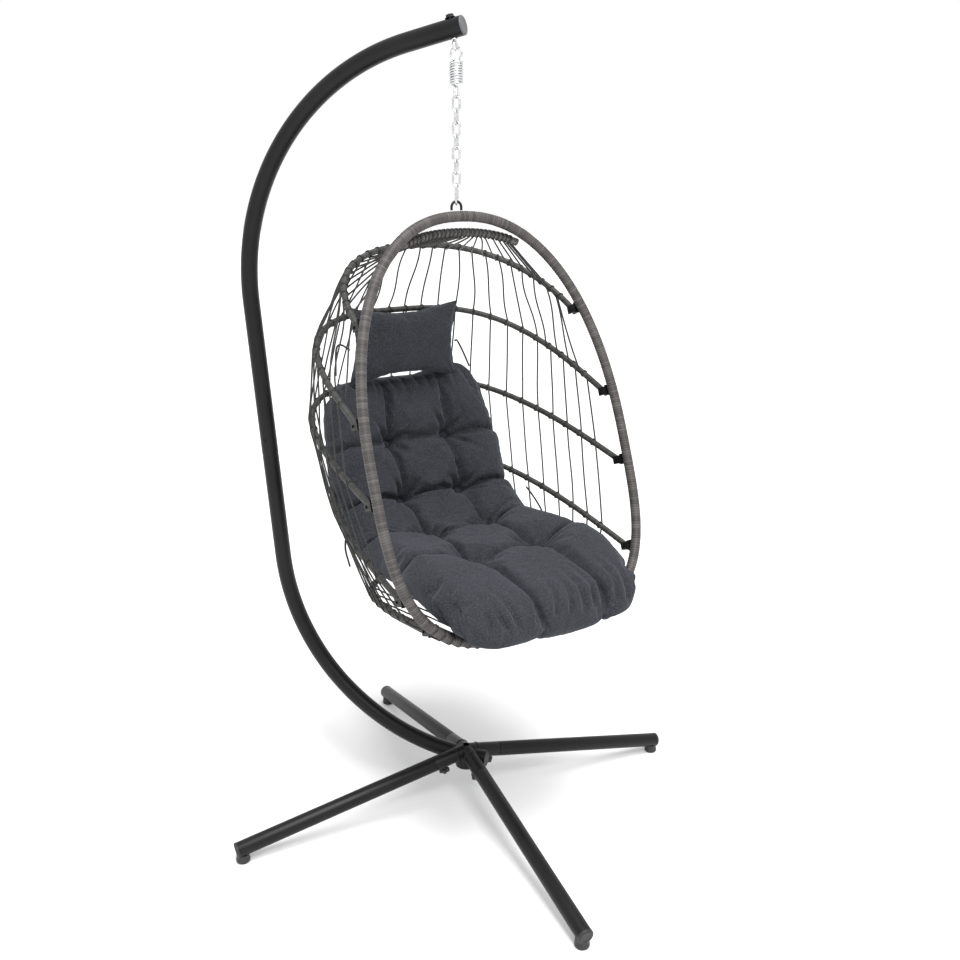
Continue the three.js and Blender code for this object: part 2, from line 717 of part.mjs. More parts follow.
function buildSoftParts(basket) {
  piece("seat_cushion", cushionGeometry(), "fabric", basket);
  const pillow = piece("head_pillow", pillowGeometry(), "fabric", basket);
  pillow.position.set(0, PILLOW.depth, -PILLOW.drop);
  pillow.rotation.x = PILLOW.tilt;
  const ties = {
    pillow_tie_left: [[-157, 213, 389], [-176, 196, 394], [-190, 206, 398], [-203, 272, 402]],
    pillow_tie_right: [[157, 213, 389], [172, 212, 402], [194, 238, 420], [212, 280, 430]],
    cushion_tie_left: [[-252, 640, 384], [-268, 668, 372], [-281, 705, 366], [-280, 750, 361]],
    cushion_tie_right: [[292, 640, 384], [300, 668, 372], [302, 705, 350], [300, 750, 330]],
  };
  for (const [name, points] of Object.entries(ties)) {
    piece(name, tieGeometry(points), "fabric", basket);
  }
}

buildBase();
const eye = buildPole();
buildBasket(buildSuspension());

// The origin is the middle of the footprint, on the floor.
const bounds = new THREE.Box3().setFromObject(root, true);
const middle = bounds.getCenter(new THREE.Vector3());
root.position.set(-middle.x, -middle.y, -bounds.min.z);

export default root;
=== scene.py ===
"""Looks of the hanging egg chair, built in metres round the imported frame."""

import json
import math
from math import cos, pi, radians, sin

import bpy
import numpy as np
from mathutils import Matrix, Vector


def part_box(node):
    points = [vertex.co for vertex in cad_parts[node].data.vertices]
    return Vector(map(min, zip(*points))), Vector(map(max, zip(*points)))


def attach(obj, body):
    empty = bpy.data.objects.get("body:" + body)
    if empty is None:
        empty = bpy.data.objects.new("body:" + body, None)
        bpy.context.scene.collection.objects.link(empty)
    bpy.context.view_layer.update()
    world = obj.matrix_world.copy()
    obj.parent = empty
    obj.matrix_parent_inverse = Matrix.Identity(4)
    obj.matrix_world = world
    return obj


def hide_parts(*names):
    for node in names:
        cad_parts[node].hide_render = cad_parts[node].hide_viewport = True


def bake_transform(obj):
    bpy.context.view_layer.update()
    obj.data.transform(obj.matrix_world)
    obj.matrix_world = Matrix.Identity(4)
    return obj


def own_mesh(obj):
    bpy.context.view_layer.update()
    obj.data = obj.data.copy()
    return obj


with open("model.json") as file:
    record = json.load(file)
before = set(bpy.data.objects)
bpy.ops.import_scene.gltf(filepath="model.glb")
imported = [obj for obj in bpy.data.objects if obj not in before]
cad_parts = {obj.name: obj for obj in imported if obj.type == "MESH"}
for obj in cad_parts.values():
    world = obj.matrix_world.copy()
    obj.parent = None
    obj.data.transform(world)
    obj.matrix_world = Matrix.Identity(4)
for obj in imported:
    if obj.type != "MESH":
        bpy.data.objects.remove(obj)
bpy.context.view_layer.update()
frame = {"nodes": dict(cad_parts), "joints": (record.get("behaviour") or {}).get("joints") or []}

# ---- driving sizes, in metres and radians; the stand's and the frame's are the CAD's own ----

LEG = {"reach": 0.607, "radius": 0.019, "end": 0.034, "hub": 0.152, "socket": 0.094}
POLE = {
    "radius": 0.021, "base": 0.140, "front": -0.058, "arc_start": -0.0145, "lean": radians(4.7),
    "lower": 0.542, "straight": 0.672, "upper": 0.5525, "sweep": radians(82.6), "tip": 0.137,
    "joint": 0.273, "insert": 0.0186,
}
EYE = {"setback": 0.024, "shank": 0.004, "ring": 0.009, "wire": 0.0035, "drop": 0.036}
SPRING = {
    "wire": 0.00225, "coils": 9, "radius": 0.0135, "top": 1.850, "bottom": 1.801, "hook": 0.013,
}
LINK = {"length": 0.037, "width": 0.021, "wire": 0.0025}
QUICK = {"length": 0.050, "width": 0.024, "wire": 0.0025, "turn": radians(14)}
RING = {"radius": 0.013, "wire": 0.003}
RIM = {"height": 0.965, "widest": 0.560, "half": 0.346, "crown": 2.26, "base": 3.4, "radius": 0.012}
RIM_FOOT = (0.38, 0.62)  # the share of the rim's length that the last tier of cords is tied to
RIB_RADIUS = 0.0075
PIVOT_DEPTH = 0.035
LEAD = 0.012  # how far a rib's ends go past its pivots, towards the rim
RIBS = [
    {"drop": 0.229, "reach": 0.303, "rise": radians(50.6), "square": 2.26},
    {"drop": 0.441, "reach": 0.478, "rise": radians(42.7), "square": 2.9},
    {"drop": 0.616, "reach": 0.616, "rise": radians(33.7), "square": 2.8},
    {"drop": 0.829, "reach": 0.660, "rise": radians(33), "square": 2.7},
    {"drop": 0.905, "reach": 0.500, "rise": radians(12.3), "square": 2.85},
]
BOW = {"half": 0.160, "radius": 0.009, "drop": 0.030, "depth": 0.027}
WIND = {"rim": 0.0061, "rib": 0.0042}  # pitch of the flat strand wound round the bars
CORD = {"radius": 0.0021, "strands": 26, "edge": 0.07, "knot": 0.0016}
TIE_RADIUS = 0.0025

# Half widths at the cushion's top, back and seat; the spares are cut on because filling shrinks it.
CUSHION = {
    "top": 0.240, "back": 0.262, "seat": 0.284, "thick": 0.057, "curl": 0.066, "offset": 0.002,
    "spare_top": 0.012, "spare_lip": 0.068, "front_start": 0.74, "front_narrowing": 0.17,
}
CUSHION_LINE = [
    (290, 476), (380, 484), (480, 482), (580, 474), (670, 446), (745, 385), (788, 290), (820, 190),
    (852, 90), (885, 20), (915, -50),
]
TUFT_COLUMNS = (-0.25, 0.42)
TUFT_ROWS = (0.175, 0.330, 0.520, 0.725)
PILLOW = {
    "width": 0.306, "height": 0.186, "thick": 0.092, "drop": 0.206, "depth": 0.384,
    "tilt": radians(24), "spare": 0.010,
}
CLOTH = {
    "quality": 6, "mass": 0.02, "air_damping": 2.0, "tension_stiffness": 20.0,
    "compression_stiffness": 20.0, "shear_stiffness": 8.0, "bending_stiffness": 0.02,
    "use_pressure": True,
}
CUSHION_FILL = {"growth": 0.11, "pressure": 4.0, "frames": 20, "cap": 0.025}
PILLOW_FILL = {"growth": 0.03, "pressure": 8.0, "frames": 16, "cap": 0.012}

# ---- frames: the stand stands on the hub's axis, the basket hangs from the rim's top ----

joints = {j["name"]: j for j in frame["joints"]}


def hinge(name):
    return Vector(joints[name]["pos_m"])


hub_low, hub_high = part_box("base_hub")
HUB = Vector(((hub_low.x + hub_high.x) / 2, (hub_low.y + hub_high.y) / 2, 0))
HANG = hinge("swing_fore_aft")

across = Vector(joints["rib_4_fold"]["axis"]).normalized()
upward = (hinge("rib_1_fold") - hinge("rib_5_fold")).normalized()
upward = (upward - across * upward.dot(across)).normalized()
backward = upward.cross(across)
rim_top = hinge("rib_1_fold") + upward * RIBS[0]["drop"] - backward * PIVOT_DEPTH
BASKET = Matrix((across, backward, upward)).transposed().to_4x4()
BASKET.translation = rim_top
STAND = Matrix.Translation(HUB)

# ---- camera ----


def make_camera():
    """The photograph's view: a fitted place and direction, with a slight roll."""
    azimuth, elevation, roll = radians(-70.66), radians(15.43), radians(0.32)
    data = bpy.data.cameras.new("camera")
    data.lens = 36.78
    data.sensor_width = 36
    camera = bpy.data.objects.new("camera", data)
    turn = Matrix.Rotation(azimuth, 4, "Z") @ Matrix.Rotation(pi / 2 - elevation, 4, "X")
    place = Matrix.Translation(HUB + Vector((-2.1764, -0.7987, 1.5356)))
    camera.matrix_world = place @ turn @ Matrix.Rotation(roll, 4, "Z")
    bpy.context.collection.objects.link(camera)
    bpy.context.scene.camera = camera


make_camera()

# ---- paths, in the basket's frame: x across, y back, z up from the rim's top ----


def power(value, exponent):
    """A power that keeps the sign, for the sides of a superellipse."""
    return np.sign(value) * np.abs(value) ** exponent


def run_of(points):
    """The length along a polyline up to each of its points."""
    return np.r_[0, np.cumsum(np.linalg.norm(np.diff(points, axis=0), axis=1))]


def resample(points, count, closed=False, start=0.0, end=1.0):
    """Evenly spaced points along a dense polyline."""
    points = np.asarray(points, float)
    if closed:
        points = np.vstack([points, points[:1]])
    run = run_of(points)
    at = np.linspace(start, end, count, endpoint=not closed) * run[-1]
    return np.stack([np.interp(at, run, points[:, k]) for k in range(3)], 1)


def smooth_path(points, count):
    """Evenly spaced points on a Catmull-Rom curve through a few points."""
    p = np.asarray(points, float)
    p = np.vstack([2 * p[0] - p[1], p, 2 * p[-1] - p[-2]])
    dense = []
    for i in range(1, len(p) - 2):
        t = np.linspace(0, 1, 24, endpoint=False)[:, None]
        a, b, c, d = p[i - 1], p[i], p[i + 1], p[i + 2]
        dense.append(
            0.5 * (2 * b + (c - a) * t + (2 * a - 5 * b + 4 * c - d) * t**2
                   + (3 * b - a - 3 * c + d) * t**3)
        )
    dense.append(p[-2:-1])
    return resample(np.vstack(dense), count)


def rim_path(steps=1600):
    """An egg outline: one superellipse above the widest line and a squarer one below it."""
    t = np.linspace(0, 2 * pi, steps, endpoint=False)
    side, up = np.sin(t), np.cos(t)
    square = np.where(up > 0, RIM["crown"], RIM["base"])
    reach = np.where(up > 0, RIM["widest"], RIM["height"] - RIM["widest"])
    x = RIM["half"] * power(side, 2 / square)
    z = -RIM["widest"] + reach * power(up, 2 / square)
    return np.stack([x, 0 * x, z], 1)


def rim_half(drop):
    """Half the rim's width at a drop below its top."""
    above = drop < RIM["widest"]
    part = (RIM["widest"] - drop) / RIM["widest"]
    if not above:
        part = (drop - RIM["widest"]) / (RIM["height"] - RIM["widest"])
    square = RIM["crown"] if above else RIM["base"]
    return RIM["half"] * (1 - part**square) ** (1 / square)


def rib_path(rib, steps=1200):
    t = np.linspace(0, pi, steps)
    x = -rim_half(rib["drop"]) * power(np.cos(t), 2 / rib["square"])
    out = (rib["reach"] + LEAD) * power(np.sin(t), 2 / rib["square"]) - LEAD
    return np.stack(
        [x, PIVOT_DEPTH + out * cos(rib["rise"]), -rib["drop"] + out * sin(rib["rise"])], 1
    )


def bow_path(steps=400):
    """The bow behind the rim's top falls a little less than the rim does."""
    x = np.linspace(-1, 1, steps) * BOW["half"]
    level = 1 - (np.abs(x) / RIM["half"]) ** RIM["crown"]
    fall = RIM["widest"] * (1 - level ** (1 / RIM["crown"]))
    return np.stack([x, 0 * x + BOW["depth"], -BOW["drop"] - 0.6 * fall], 1)


def front_bar_path(steps=97):
    """The rim's foot from side to side, in the same direction as the ribs."""
    outline = rim_path()
    start, end = RIM_FOOT
    return resample(np.vstack([outline, outline[:1]]), steps, start=start, end=end)[::-1]


# ---- mesh helpers ----


def collect(name, parts, transform=None):
    """One object from (vertices, faces, uvs) parts; uvs follow the faces' corners."""
    verts, faces, uvs, base = [], [], [], 0
    for v, f, uv in parts:
        verts.append(v)
        faces.extend([tuple(i + base for i in face) for face in f])
        uvs.append(uv)
        base += len(v)
    mesh = bpy.data.meshes.new(name)
    mesh.from_pydata(np.vstack(verts).tolist(), [], faces)
    layer = mesh.uv_layers.new(name="run")
    layer.data.foreach_set("uv", np.vstack(uvs).astype(np.float32).ravel())
    mesh.polygons.foreach_set("use_smooth", np.ones(len(mesh.polygons), bool))
    if transform is not None:
        mesh.transform(transform)
    mesh.update()
    thing = bpy.data.objects.new(name, mesh)
    bpy.context.collection.objects.link(thing)
    return thing


def grid_faces(rows, sides, closed_rows=False):
    """Quads between rings of points, and each quad corner's place as (row, side)."""
    faces, corners = [], []
    for i in range(rows if closed_rows else rows - 1):
        n = (i + 1) % rows
        for j in range(sides):
            k = (j + 1) % sides
            faces.append((i * sides + j, i * sides + k, n * sides + k, n * sides + j))
            corners.append(((i, j), (i, j + 1), (i + 1, j + 1), (i + 1, j)))
    return faces, np.array(corners, float)


def frames_along(points, closed, hint):
    """Unit tangents and normals that follow the path without twisting."""
    ahead = np.roll(points, -1, 0) - np.roll(points, 1, 0)
    if not closed:
        ahead[0] = points[1] - points[0]
        ahead[-1] = points[-1] - points[-2]
    ahead /= np.linalg.norm(ahead, axis=1)[:, None]
    normal = np.cross(ahead[0], hint)
    if np.linalg.norm(normal) < 1e-3:
        normal = np.cross(ahead[0], (0.31, 0.87, 0.38))
    normals = []
    for t in ahead:
        normal = normal - t * np.dot(normal, t)
        normal /= np.linalg.norm(normal)
        normals.append(normal)
    return ahead, np.array(normals)


def sweep(points, radius, sides=12, closed=False, hint=(0, 1, 0)):
    """A round bar along points, capped unless it is closed. radius is a number or one for each point."""
    points = np.asarray(points, float)
    rows = len(points)
    ahead, normals = frames_along(points, closed, np.asarray(hint, float))
    binormals = np.cross(ahead, normals)
    angle = np.arange(sides) * 2 * pi / sides
    radius = np.broadcast_to(np.reshape(radius, (-1, 1)), (rows, sides))
    ring = normals[:, None] * np.cos(angle)[:, None] + binormals[:, None] * np.sin(angle)[:, None]
    verts = (points[:, None] + ring * radius[:, :, None]).reshape(-1, 3)
    faces, corners = grid_faces(rows, sides, closed)
    step = np.linalg.norm(np.diff(points, axis=0), axis=1).mean()
    girth = 2 * pi * float(np.mean(radius)) / sides
    uv = corners.reshape(-1, 2) * (step, girth)
    if not closed:
        for end, row in ((0, range(sides - 1, -1, -1)), (rows - 1, range(sides))):
            faces.append(tuple(end * sides + j for j in row))
            uv = np.vstack([uv, [(end * step, j * girth) for j in row]])
    return verts, faces, uv


def lathe(profile, sides=40, place=None):
    """A turned part on +Z from (radius, height) pairs, open at both ends of the profile."""
    profile = np.asarray(profile, float)
    angle = np.arange(sides) * 2 * pi / sides
    verts = np.stack(
        [profile[:, :1] * np.cos(angle), profile[:, :1] * np.sin(angle),
         np.repeat(profile[:, 1:], sides, 1)], 2
    ).reshape(-1, 3)
    faces, corners = grid_faces(len(profile), sides)
    girth = 2 * pi * profile[:, 0].max() / sides
    along = run_of(profile)[corners[:, :, 0].astype(int)]
    uv = np.stack([along, corners[:, :, 1] * girth], 2).reshape(-1, 2)
    if place is not None:
        verts = np.array([place @ Vector(v) for v in verts])
    return verts, faces, uv


def rounded(profile, radius=0.001, steps=3):
    """The profile with its inner corners rounded off."""
    points = [Vector(p) for p in profile]
    out = [points[0]]
    for before, corner, after in zip(points, points[1:], points[2:]):
        r = min(radius, (corner - before).length / 2.1, (after - corner).length / 2.1)
        a = corner + (before - corner).normalized() * r
        b = corner + (after - corner).normalized() * r
        for k in range(steps + 1):
            t = k / steps
            out.append(a * (1 - t) ** 2 + corner * 2 * t * (1 - t) + b * t**2)
    out.append(points[-1])
    return [tuple(p) for p in out]


def dress(thing, body, slot, material, *nodes):
    """Gives a piece its material and its body, and hides the CAD nodes that it stands for."""
    thing.data.materials.clear()
    thing.data.materials.append(material)
    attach(thing, body)
    if nodes:
        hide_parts(*nodes)


def add_piece(name, parts, body, slot, material, *nodes, place=None, sharp=0):
    """A finished piece from its parts; edges that turn by more than sharp degrees stay hard."""
    thing = collect(name, parts, place)
    if sharp:
        thing.data.set_sharp_from_angle(angle=radians(sharp))
    dress(thing, body, slot, material, *nodes)
    return thing


# ---- materials ----


class Shader:
    """A Principled material whose colour, roughness and bump come from a few nodes."""

    def __init__(self, name, **sockets):
        self.material = bpy.data.materials.new(name)
        self.material.use_nodes = True
        self.tree = self.material.node_tree
        self.bsdf = self.tree.nodes["Principled BSDF"]
        for key, value in sockets.items():
            self.bsdf.inputs[key.replace("_", " ")].default_value = value

    def node(self, kind, **values):
        made = self.tree.nodes.new(kind)
        for key, value in values.items():
            if hasattr(made, key):
                setattr(made, key, value)
            else:
                made.inputs[key.replace("_", " ")].default_value = value
        return made

    def link(self, source, target):
        self.tree.links.new(source, target)

    def mapped(self, source, scale):
        """The vector stretched along each axis."""
        mapping = self.node("ShaderNodeMapping")
        mapping.inputs["Scale"].default_value = scale
        self.link(source, mapping.inputs["Vector"])
        return mapping.outputs["Vector"]

    def coords(self, scale=(1, 1, 1)):
        return self.mapped(self.node("ShaderNodeTexCoord").outputs["Object"], scale)

    def run(self, scale=(1, 1, 1)):
        """The UV that runs along a bar in metres."""
        return self.mapped(self.node("ShaderNodeUVMap", uv_map="run").outputs["UV"], scale)

    def noise(self, vector, scale, detail=3.0, roughness=0.5):
        made = self.node("ShaderNodeTexNoise", Scale=scale, Detail=detail, Roughness=roughness)
        self.link(vector, made.inputs["Vector"])
        return made.outputs["Fac"]

    def ramp(self, fac, stops):
        made = self.node("ShaderNodeValToRGB")
        elements = made.color_ramp.elements
        while len(elements) < len(stops):
            elements.new(0.5)
        for element, (at, colour) in zip(elements, stops):
            element.position = at
            element.color = (*colour, 1)
        self.link(fac, made.inputs["Fac"])
        return made.outputs["Color"]

    def feed(self, socket, value):
        """A socket takes a number, a colour or another node's output."""
        if isinstance(value, (int, float)):
            socket.default_value = value
        elif isinstance(value, tuple):
            socket.default_value = (*value, 1)
        else:
            self.link(value, socket)

    def maths(self, kind, *values):
        made = self.node("ShaderNodeMath", operation=kind)
        for socket, value in zip(made.inputs, values):
            self.feed(socket, value)
        return made.outputs[0]

    def mix(self, fac, a, b, blend="MIX"):
        made = self.node("ShaderNodeMix", data_type="RGBA", blend_type=blend)
        self.feed(made.inputs["Factor"], fac)
        self.feed(made.inputs[6], a)
        self.feed(made.inputs[7], b)
        return made.outputs[2]

    def colour(self, source):
        self.link(source, self.bsdf.inputs["Base Color"])

    def roughness(self, fac, low, high):
        made = self.node("ShaderNodeMapRange")
        made.inputs["To Min"].default_value = low
        made.inputs["To Max"].default_value = high
        self.link(fac, made.inputs["Value"])
        self.link(made.outputs["Result"], self.bsdf.inputs["Roughness"])

    def bump(self, height, distance, strength=1.0):
        made = self.node("ShaderNodeBump", Strength=strength, Distance=distance)
        self.link(height, made.inputs["Height"])
        self.link(made.outputs["Normal"], self.bsdf.inputs["Normal"])


def powder_coat():
    """Satin black paint with a fine orange-peel texture."""
    s = Shader("powder_coat", Specular_IOR_Level=0.22)
    fine = s.noise(s.coords(), 1400, 2)
    broad = s.noise(s.coords(), 9, 3)
    s.colour(s.ramp(broad, [(0.3, (0.0045, 0.0047, 0.0046)), (0.7, (0.0070, 0.0071, 0.0068))]))
    s.roughness(broad, 0.34, 0.46)
    s.bump(fine, 0.00012, 0.6)
    return s.material


def moulded_plastic(name, dark, light):
    s = Shader(name)
    fine = s.noise(s.coords(), 900, 3)
    s.colour(s.ramp(s.noise(s.coords(), 60, 2), [(0.3, dark), (0.7, light)]))
    s.roughness(fine, 0.45, 0.6)
    s.bump(fine, 0.00008, 0.5)
    return s.material


def zinc_plate():
    s = Shader("zinc_plate", Metallic=1.0)
    broad = s.noise(s.coords(), 120, 3)
    s.colour(s.ramp(broad, [(0.3, (0.50, 0.505, 0.51)), (0.7, (0.72, 0.725, 0.73))]))
    s.roughness(broad, 0.22, 0.4)
    s.bump(s.noise(s.coords(), 1500, 2), 0.00006, 0.5)
    return s.material


def wound_strand(name, pitch, tones):
    """Flat strand wound round a bar: each turn has its own tone and fine streaks, with painted shade
    darkening its edges where the groove between turns lies.
    """
    s = Shader(name)
    uv = s.run()
    split = s.node("ShaderNodeSeparateXYZ")
    s.link(uv, split.inputs["Vector"])
    turn = s.maths("DIVIDE", split.outputs["X"], pitch)
    index = s.maths("FLOOR", turn)
    part = s.maths("SUBTRACT", turn, index)
    white = s.node("ShaderNodeTexWhiteNoise", noise_dimensions="1D")
    s.link(index, white.inputs["W"])
    tone = s.ramp(white.outputs["Value"], [(0.0, tones[0]), (0.5, tones[1]), (1.0, tones[2])])
    grain = s.noise(s.mapped(uv, (2600, 260, 1)), 1.0, 2)
    streaks = s.ramp(grain, [(0.35, (0.25, 0.25, 0.25)), (0.7, (1, 1, 1))])
    tone = s.mix(0.35, tone, streaks, "MULTIPLY")
    # Painted shade: each turn darkens towards its edges, in the groove between turns.
    edge = s.maths("ABSOLUTE", s.maths("SUBTRACT", part, 0.5))
    groove_shade = s.ramp(edge, [(0.36, (1, 1, 1)), (0.5, (0.22, 0.21, 0.2))])
    s.colour(s.mix(1.0, tone, groove_shade, "MULTIPLY"))
    s.roughness(grain, 0.45, 0.65)
    s.bump(grain, 0.0002, 0.5)
    return s.material


def cord_finish():
    """Black cord with a slanting twist."""
    s = Shader("cord")
    wave = s.node("ShaderNodeTexWave", Scale=180.0, Distortion=0.0, bands_direction="DIAGONAL")
    s.link(s.run(), wave.inputs["Vector"])
    broad = s.noise(s.coords(), 70, 2)
    s.colour(s.ramp(broad, [(0.3, (0.009, 0.009, 0.0086)), (0.7, (0.022, 0.021, 0.020))]))
    s.roughness(broad, 0.42, 0.6)
    s.bump(wave.outputs["Fac"], 0.0002, 0.5)
    return s.material


def heather_fabric():
    """Charcoal plain weave: dark warp and weft with paler flecks and short slubs."""
    s = Shader("heather_fabric", Sheen_Weight=0.12, Sheen_Roughness=0.5, Specular_IOR_Level=0.2)
    s.bsdf.inputs["Sheen Tint"].default_value = (0.62, 0.66, 0.78, 1)
    weft = s.noise(s.coords((0.22, 1.0, 1.0)), 1100, 2, 0.6)
    warp = s.noise(s.coords((1.0, 0.22, 0.25)), 1100, 2, 0.6)
    fleck = s.maths("MAXIMUM", weft, warp)
    broad = s.noise(s.coords(), 22, 4, 0.6)
    base = s.ramp(broad, [(0.3, (0.0100, 0.0108, 0.0130)), (0.7, (0.0160, 0.0173, 0.0206))])
    flecks = s.ramp(fleck, [(0.50, (0.0, 0.0, 0.0)), (0.72, (1, 1, 1))])
    s.colour(s.mix(flecks, base, (0.058, 0.063, 0.075)))
    s.roughness(fleck, 0.82, 0.98)
    s.bump(fleck, 0.0006, 0.7)
    return s.material


BLACK = powder_coat()
PLASTIC = moulded_plastic("black_plastic", (0.010, 0.010, 0.010), (0.018, 0.018, 0.018))
GREY = moulded_plastic("grey_plastic", (0.075, 0.077, 0.080), (0.105, 0.107, 0.110))
ZINC = zinc_plate()
RATTAN = wound_strand(
    "rattan", WIND["rim"], [(0.044, 0.039, 0.037), (0.068, 0.060, 0.057), (0.096, 0.086, 0.082)]
)
RIB_WRAP = wound_strand(
    "rib_wrap", WIND["rib"], [(0.024, 0.023, 0.022), (0.038, 0.037, 0.035), (0.060, 0.058, 0.055)]
)
BOW_WRAP = wound_strand(
    "bow_wrap", WIND["rib"], [(0.060, 0.057, 0.054), (0.095, 0.091, 0.087), (0.150, 0.144, 0.138)]
)
CORD_SKIN = cord_finish()
FABRIC = heather_fabric()

# ---- ties: the only free cords; (across, drop, depth) in the basket, in millimetres ----

TIES = {
    "pillow_tie_left": [(-157, 213, 389), (-176, 196, 394), (-190, 206, 398), (-203, 272, 402)],
    "pillow_tie_right": [(157, 213, 389), (172, 212, 402), (194, 238, 420), (212, 280, 430)],
    "cushion_tie_left": [(-252, 640, 384), (-268, 668, 372), (-281, 705, 366), (-280, 750, 361)],
    "cushion_tie_right": [(292, 640, 384), (300, 668, 372), (302, 705, 350), (300, 750, 330)],
}


def fold_with_basket(thing):
    """Gives a soft part a mesh of its own."""
    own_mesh(thing)


def make_ties():
    for name, points in TIES.items():
        local = [(x / 1000, depth / 1000, -drop / 1000) for x, drop, depth in points]
        path = np.array([BASKET @ Vector(p) for p in smooth_path(local, 30)])
        thing = add_piece("sewn_" + name, [sweep(path, TIE_RADIUS)], "basket", "cushion_fabric",
                          FABRIC, name, sharp=50)
        fold_with_basket(thing)


make_ties()

# ---- stand ----

SLOPE = math.atan2(LEG["hub"] - LEG["end"], LEG["reach"])
LEG_LENGTH = math.hypot(LEG["reach"], LEG["hub"] - LEG["end"])
TURNS = {"rear_left": 135, "front_left": 225, "front_right": 315, "rear_right": 45}


def leg_frame(turn):
    """Z runs down the leg from the hub's axis."""
    spin = Matrix.Rotation(radians(turn), 4, "Z") @ Matrix.Rotation(pi / 2 + SLOPE, 4, "Y")
    return Matrix.Translation(HUB + Vector((0, 0, LEG["hub"]))) @ spin


def make_legs():
    for name, turn in TURNS.items():
        place = leg_frame(turn)
        make_leg(name, place)
        make_foot(name, place)
        make_knob(name, place)


def make_leg(name, place):
    """A tube with a narrower spigot that goes into the hub's socket."""
    radius, wall = LEG["radius"], 0.002
    spigot_radius = 0.0164
    start = LEG["socket"] + 0.0008
    tube = [(radius - wall, start + 0.02), (radius - wall, start), (radius, start),
            (radius, LEG_LENGTH), (radius - wall, LEG_LENGTH)]
    spigot = [(spigot_radius, start - 0.036), (spigot_radius, start + 0.004)]
    parts = [lathe(rounded(tube, 0.0008), 48, place), lathe(spigot, 32, place)]
    add_piece("leg_tube_" + name, parts, "stand", "frame", BLACK, "leg_" + name, sharp=35)


def make_foot(name, place):
    """The end cap and the pad under it are one moulding with a ring groove."""
    radius = LEG["radius"] + 0.0004
    end = LEG_LENGTH + 0.0003
    cap = rounded([(radius - 0.002, end), (radius, end), (radius, end + 0.0022),
                   (radius - 0.0006, end + 0.0026), (radius, end + 0.003), (radius, end + 0.0052),
                   (radius - 0.0034, end + 0.0083), (radius - 0.008, end + 0.0083),
                   (radius - 0.009, end + 0.0076), (0.0001, end + 0.0076)], 0.0012)
    pad = rounded([(0.0001, 0), (0.014, 0), (0.017, 0.003), (0.017, 0.010), (0.0158, 0.0115),
                   (0.0158, 0.022)], 0.0015)
    centre = place @ Vector((0, 0, LEG_LENGTH - 0.009))
    parts = [lathe(cap, 48, place), lathe(pad, 40, Matrix.Translation((centre.x, centre.y, 0)))]
    node = "foot_cap_" + name
    add_piece("foot_" + name, parts, "stand", "black_plastic", PLASTIC, node, sharp=50)


def make_knob(name, place):
    """A five-lobed clamp knob under the socket, with its collar and screw."""
    grip, lobe, height, sides = 0.012, 0.0022, 0.011, 80
    lobed = [(0.0, 0.9), (0.0012, 1.0), (0.5 * height, 1.03), (height - 0.0012, 1.0), (height, 0.9)]
    collar = [(height, 0.6), (height + 0.0005, 0.58), (height + 0.0034, 0.56)]
    screw = [(height + 0.0034, 0.25), (height + 0.0055, 0.25)]
    angle = np.arange(sides) * 2 * pi / sides
    rings = [np.zeros((sides, 3))]
    for level, share in [(0.0, 0.55), *lobed, *collar, *screw]:
        wave = lobe * np.cos(5 * angle) if share > 0.7 else 0 * angle
        radius = (grip + wave) * share
        rings.append(np.stack([radius * np.cos(angle), radius * np.sin(angle), 0 * angle + level], 1))
    faces, corners = grid_faces(len(rings), sides)
    out = Matrix.Translation((LEG["radius"] + height + 0.0038, 0, 0.070))
    spin = place @ out @ Matrix.Rotation(-pi / 2, 4, "Y")
    verts = np.array([spin @ Vector(v) for v in np.vstack(rings)])
    parts = [(verts, faces, corners.reshape(-1, 2) * 0.001)]
    node = "clamp_knob_" + name
    add_piece("knob_" + name, parts, node, "black_plastic", PLASTIC, node, sharp=50)


def make_hub():
    """Four sockets welded to the pole's foot, with a short core below it."""
    radius, wall = LEG["radius"], 0.002
    socket = [(radius, 0.004), (radius, LEG["socket"]), (radius - wall, LEG["socket"]),
              (radius - wall, 0.056), (0.0001, 0.056)]
    bead = [(radius - 0.001, 0.026), (radius + 0.0018, 0.028), (radius + 0.0018, 0.031),
            (radius - 0.001, 0.033)]
    parts = []
    for turn in TURNS.values():
        parts.append(lathe(rounded(socket, 0.0008), 48, leg_frame(turn)))
        parts.append(lathe(rounded(bead, 0.001), 40, leg_frame(turn)))
    core = rounded([(0.0001, 0.110), (0.028, 0.110), (0.028, 0.146), (0.02, 0.147)], 0.002)
    parts.append(lathe(core, 48, STAND))
    add_piece("hub_sockets", parts, "stand", "frame", BLACK, "base_hub", sharp=35)


def pole_points():
    """The pole's axis in the YZ plane: foot to joint, joint to tip, and the tip's direction."""
    turn = pi / 2 - POLE["lean"]
    low = Vector((0, POLE["arc_start"], POLE["base"] + POLE["lower"]))
    lower = [Vector((0, POLE["front"], POLE["base"]))]
    for a in np.linspace(0, turn, 60):
        lower.append(low + Vector((0, sin(a), -cos(a))) * POLE["lower"])
    along = Vector((0, cos(turn), sin(turn)))
    joint = lower[-1] + along * POLE["joint"]
    end = lower[-1] + along * POLE["straight"]
    high = end + Vector((0, -sin(turn), cos(turn))) * POLE["upper"]
    upper = [joint + along * 0.0003]
    for a in np.linspace(turn, turn + POLE["sweep"], 60):
        upper.append(high + Vector((0, sin(a), -cos(a))) * POLE["upper"])
    last = turn + POLE["sweep"]
    ahead = Vector((0, cos(last), sin(last)))
    upper.append(upper[-1] + ahead * POLE["tip"])
    return lower + [joint], upper, along, joint, ahead


def make_pole():
    lower, upper, along, joint, ahead = pole_points()
    make_lower_pole(lower, along, joint)
    make_upper_pole(upper)
    make_pole_screw(joint + along * 0.045)
    tip = HUB + upper[-1]
    make_plug(tip, ahead)
    make_eye(tip - ahead * EYE["setback"], ahead)


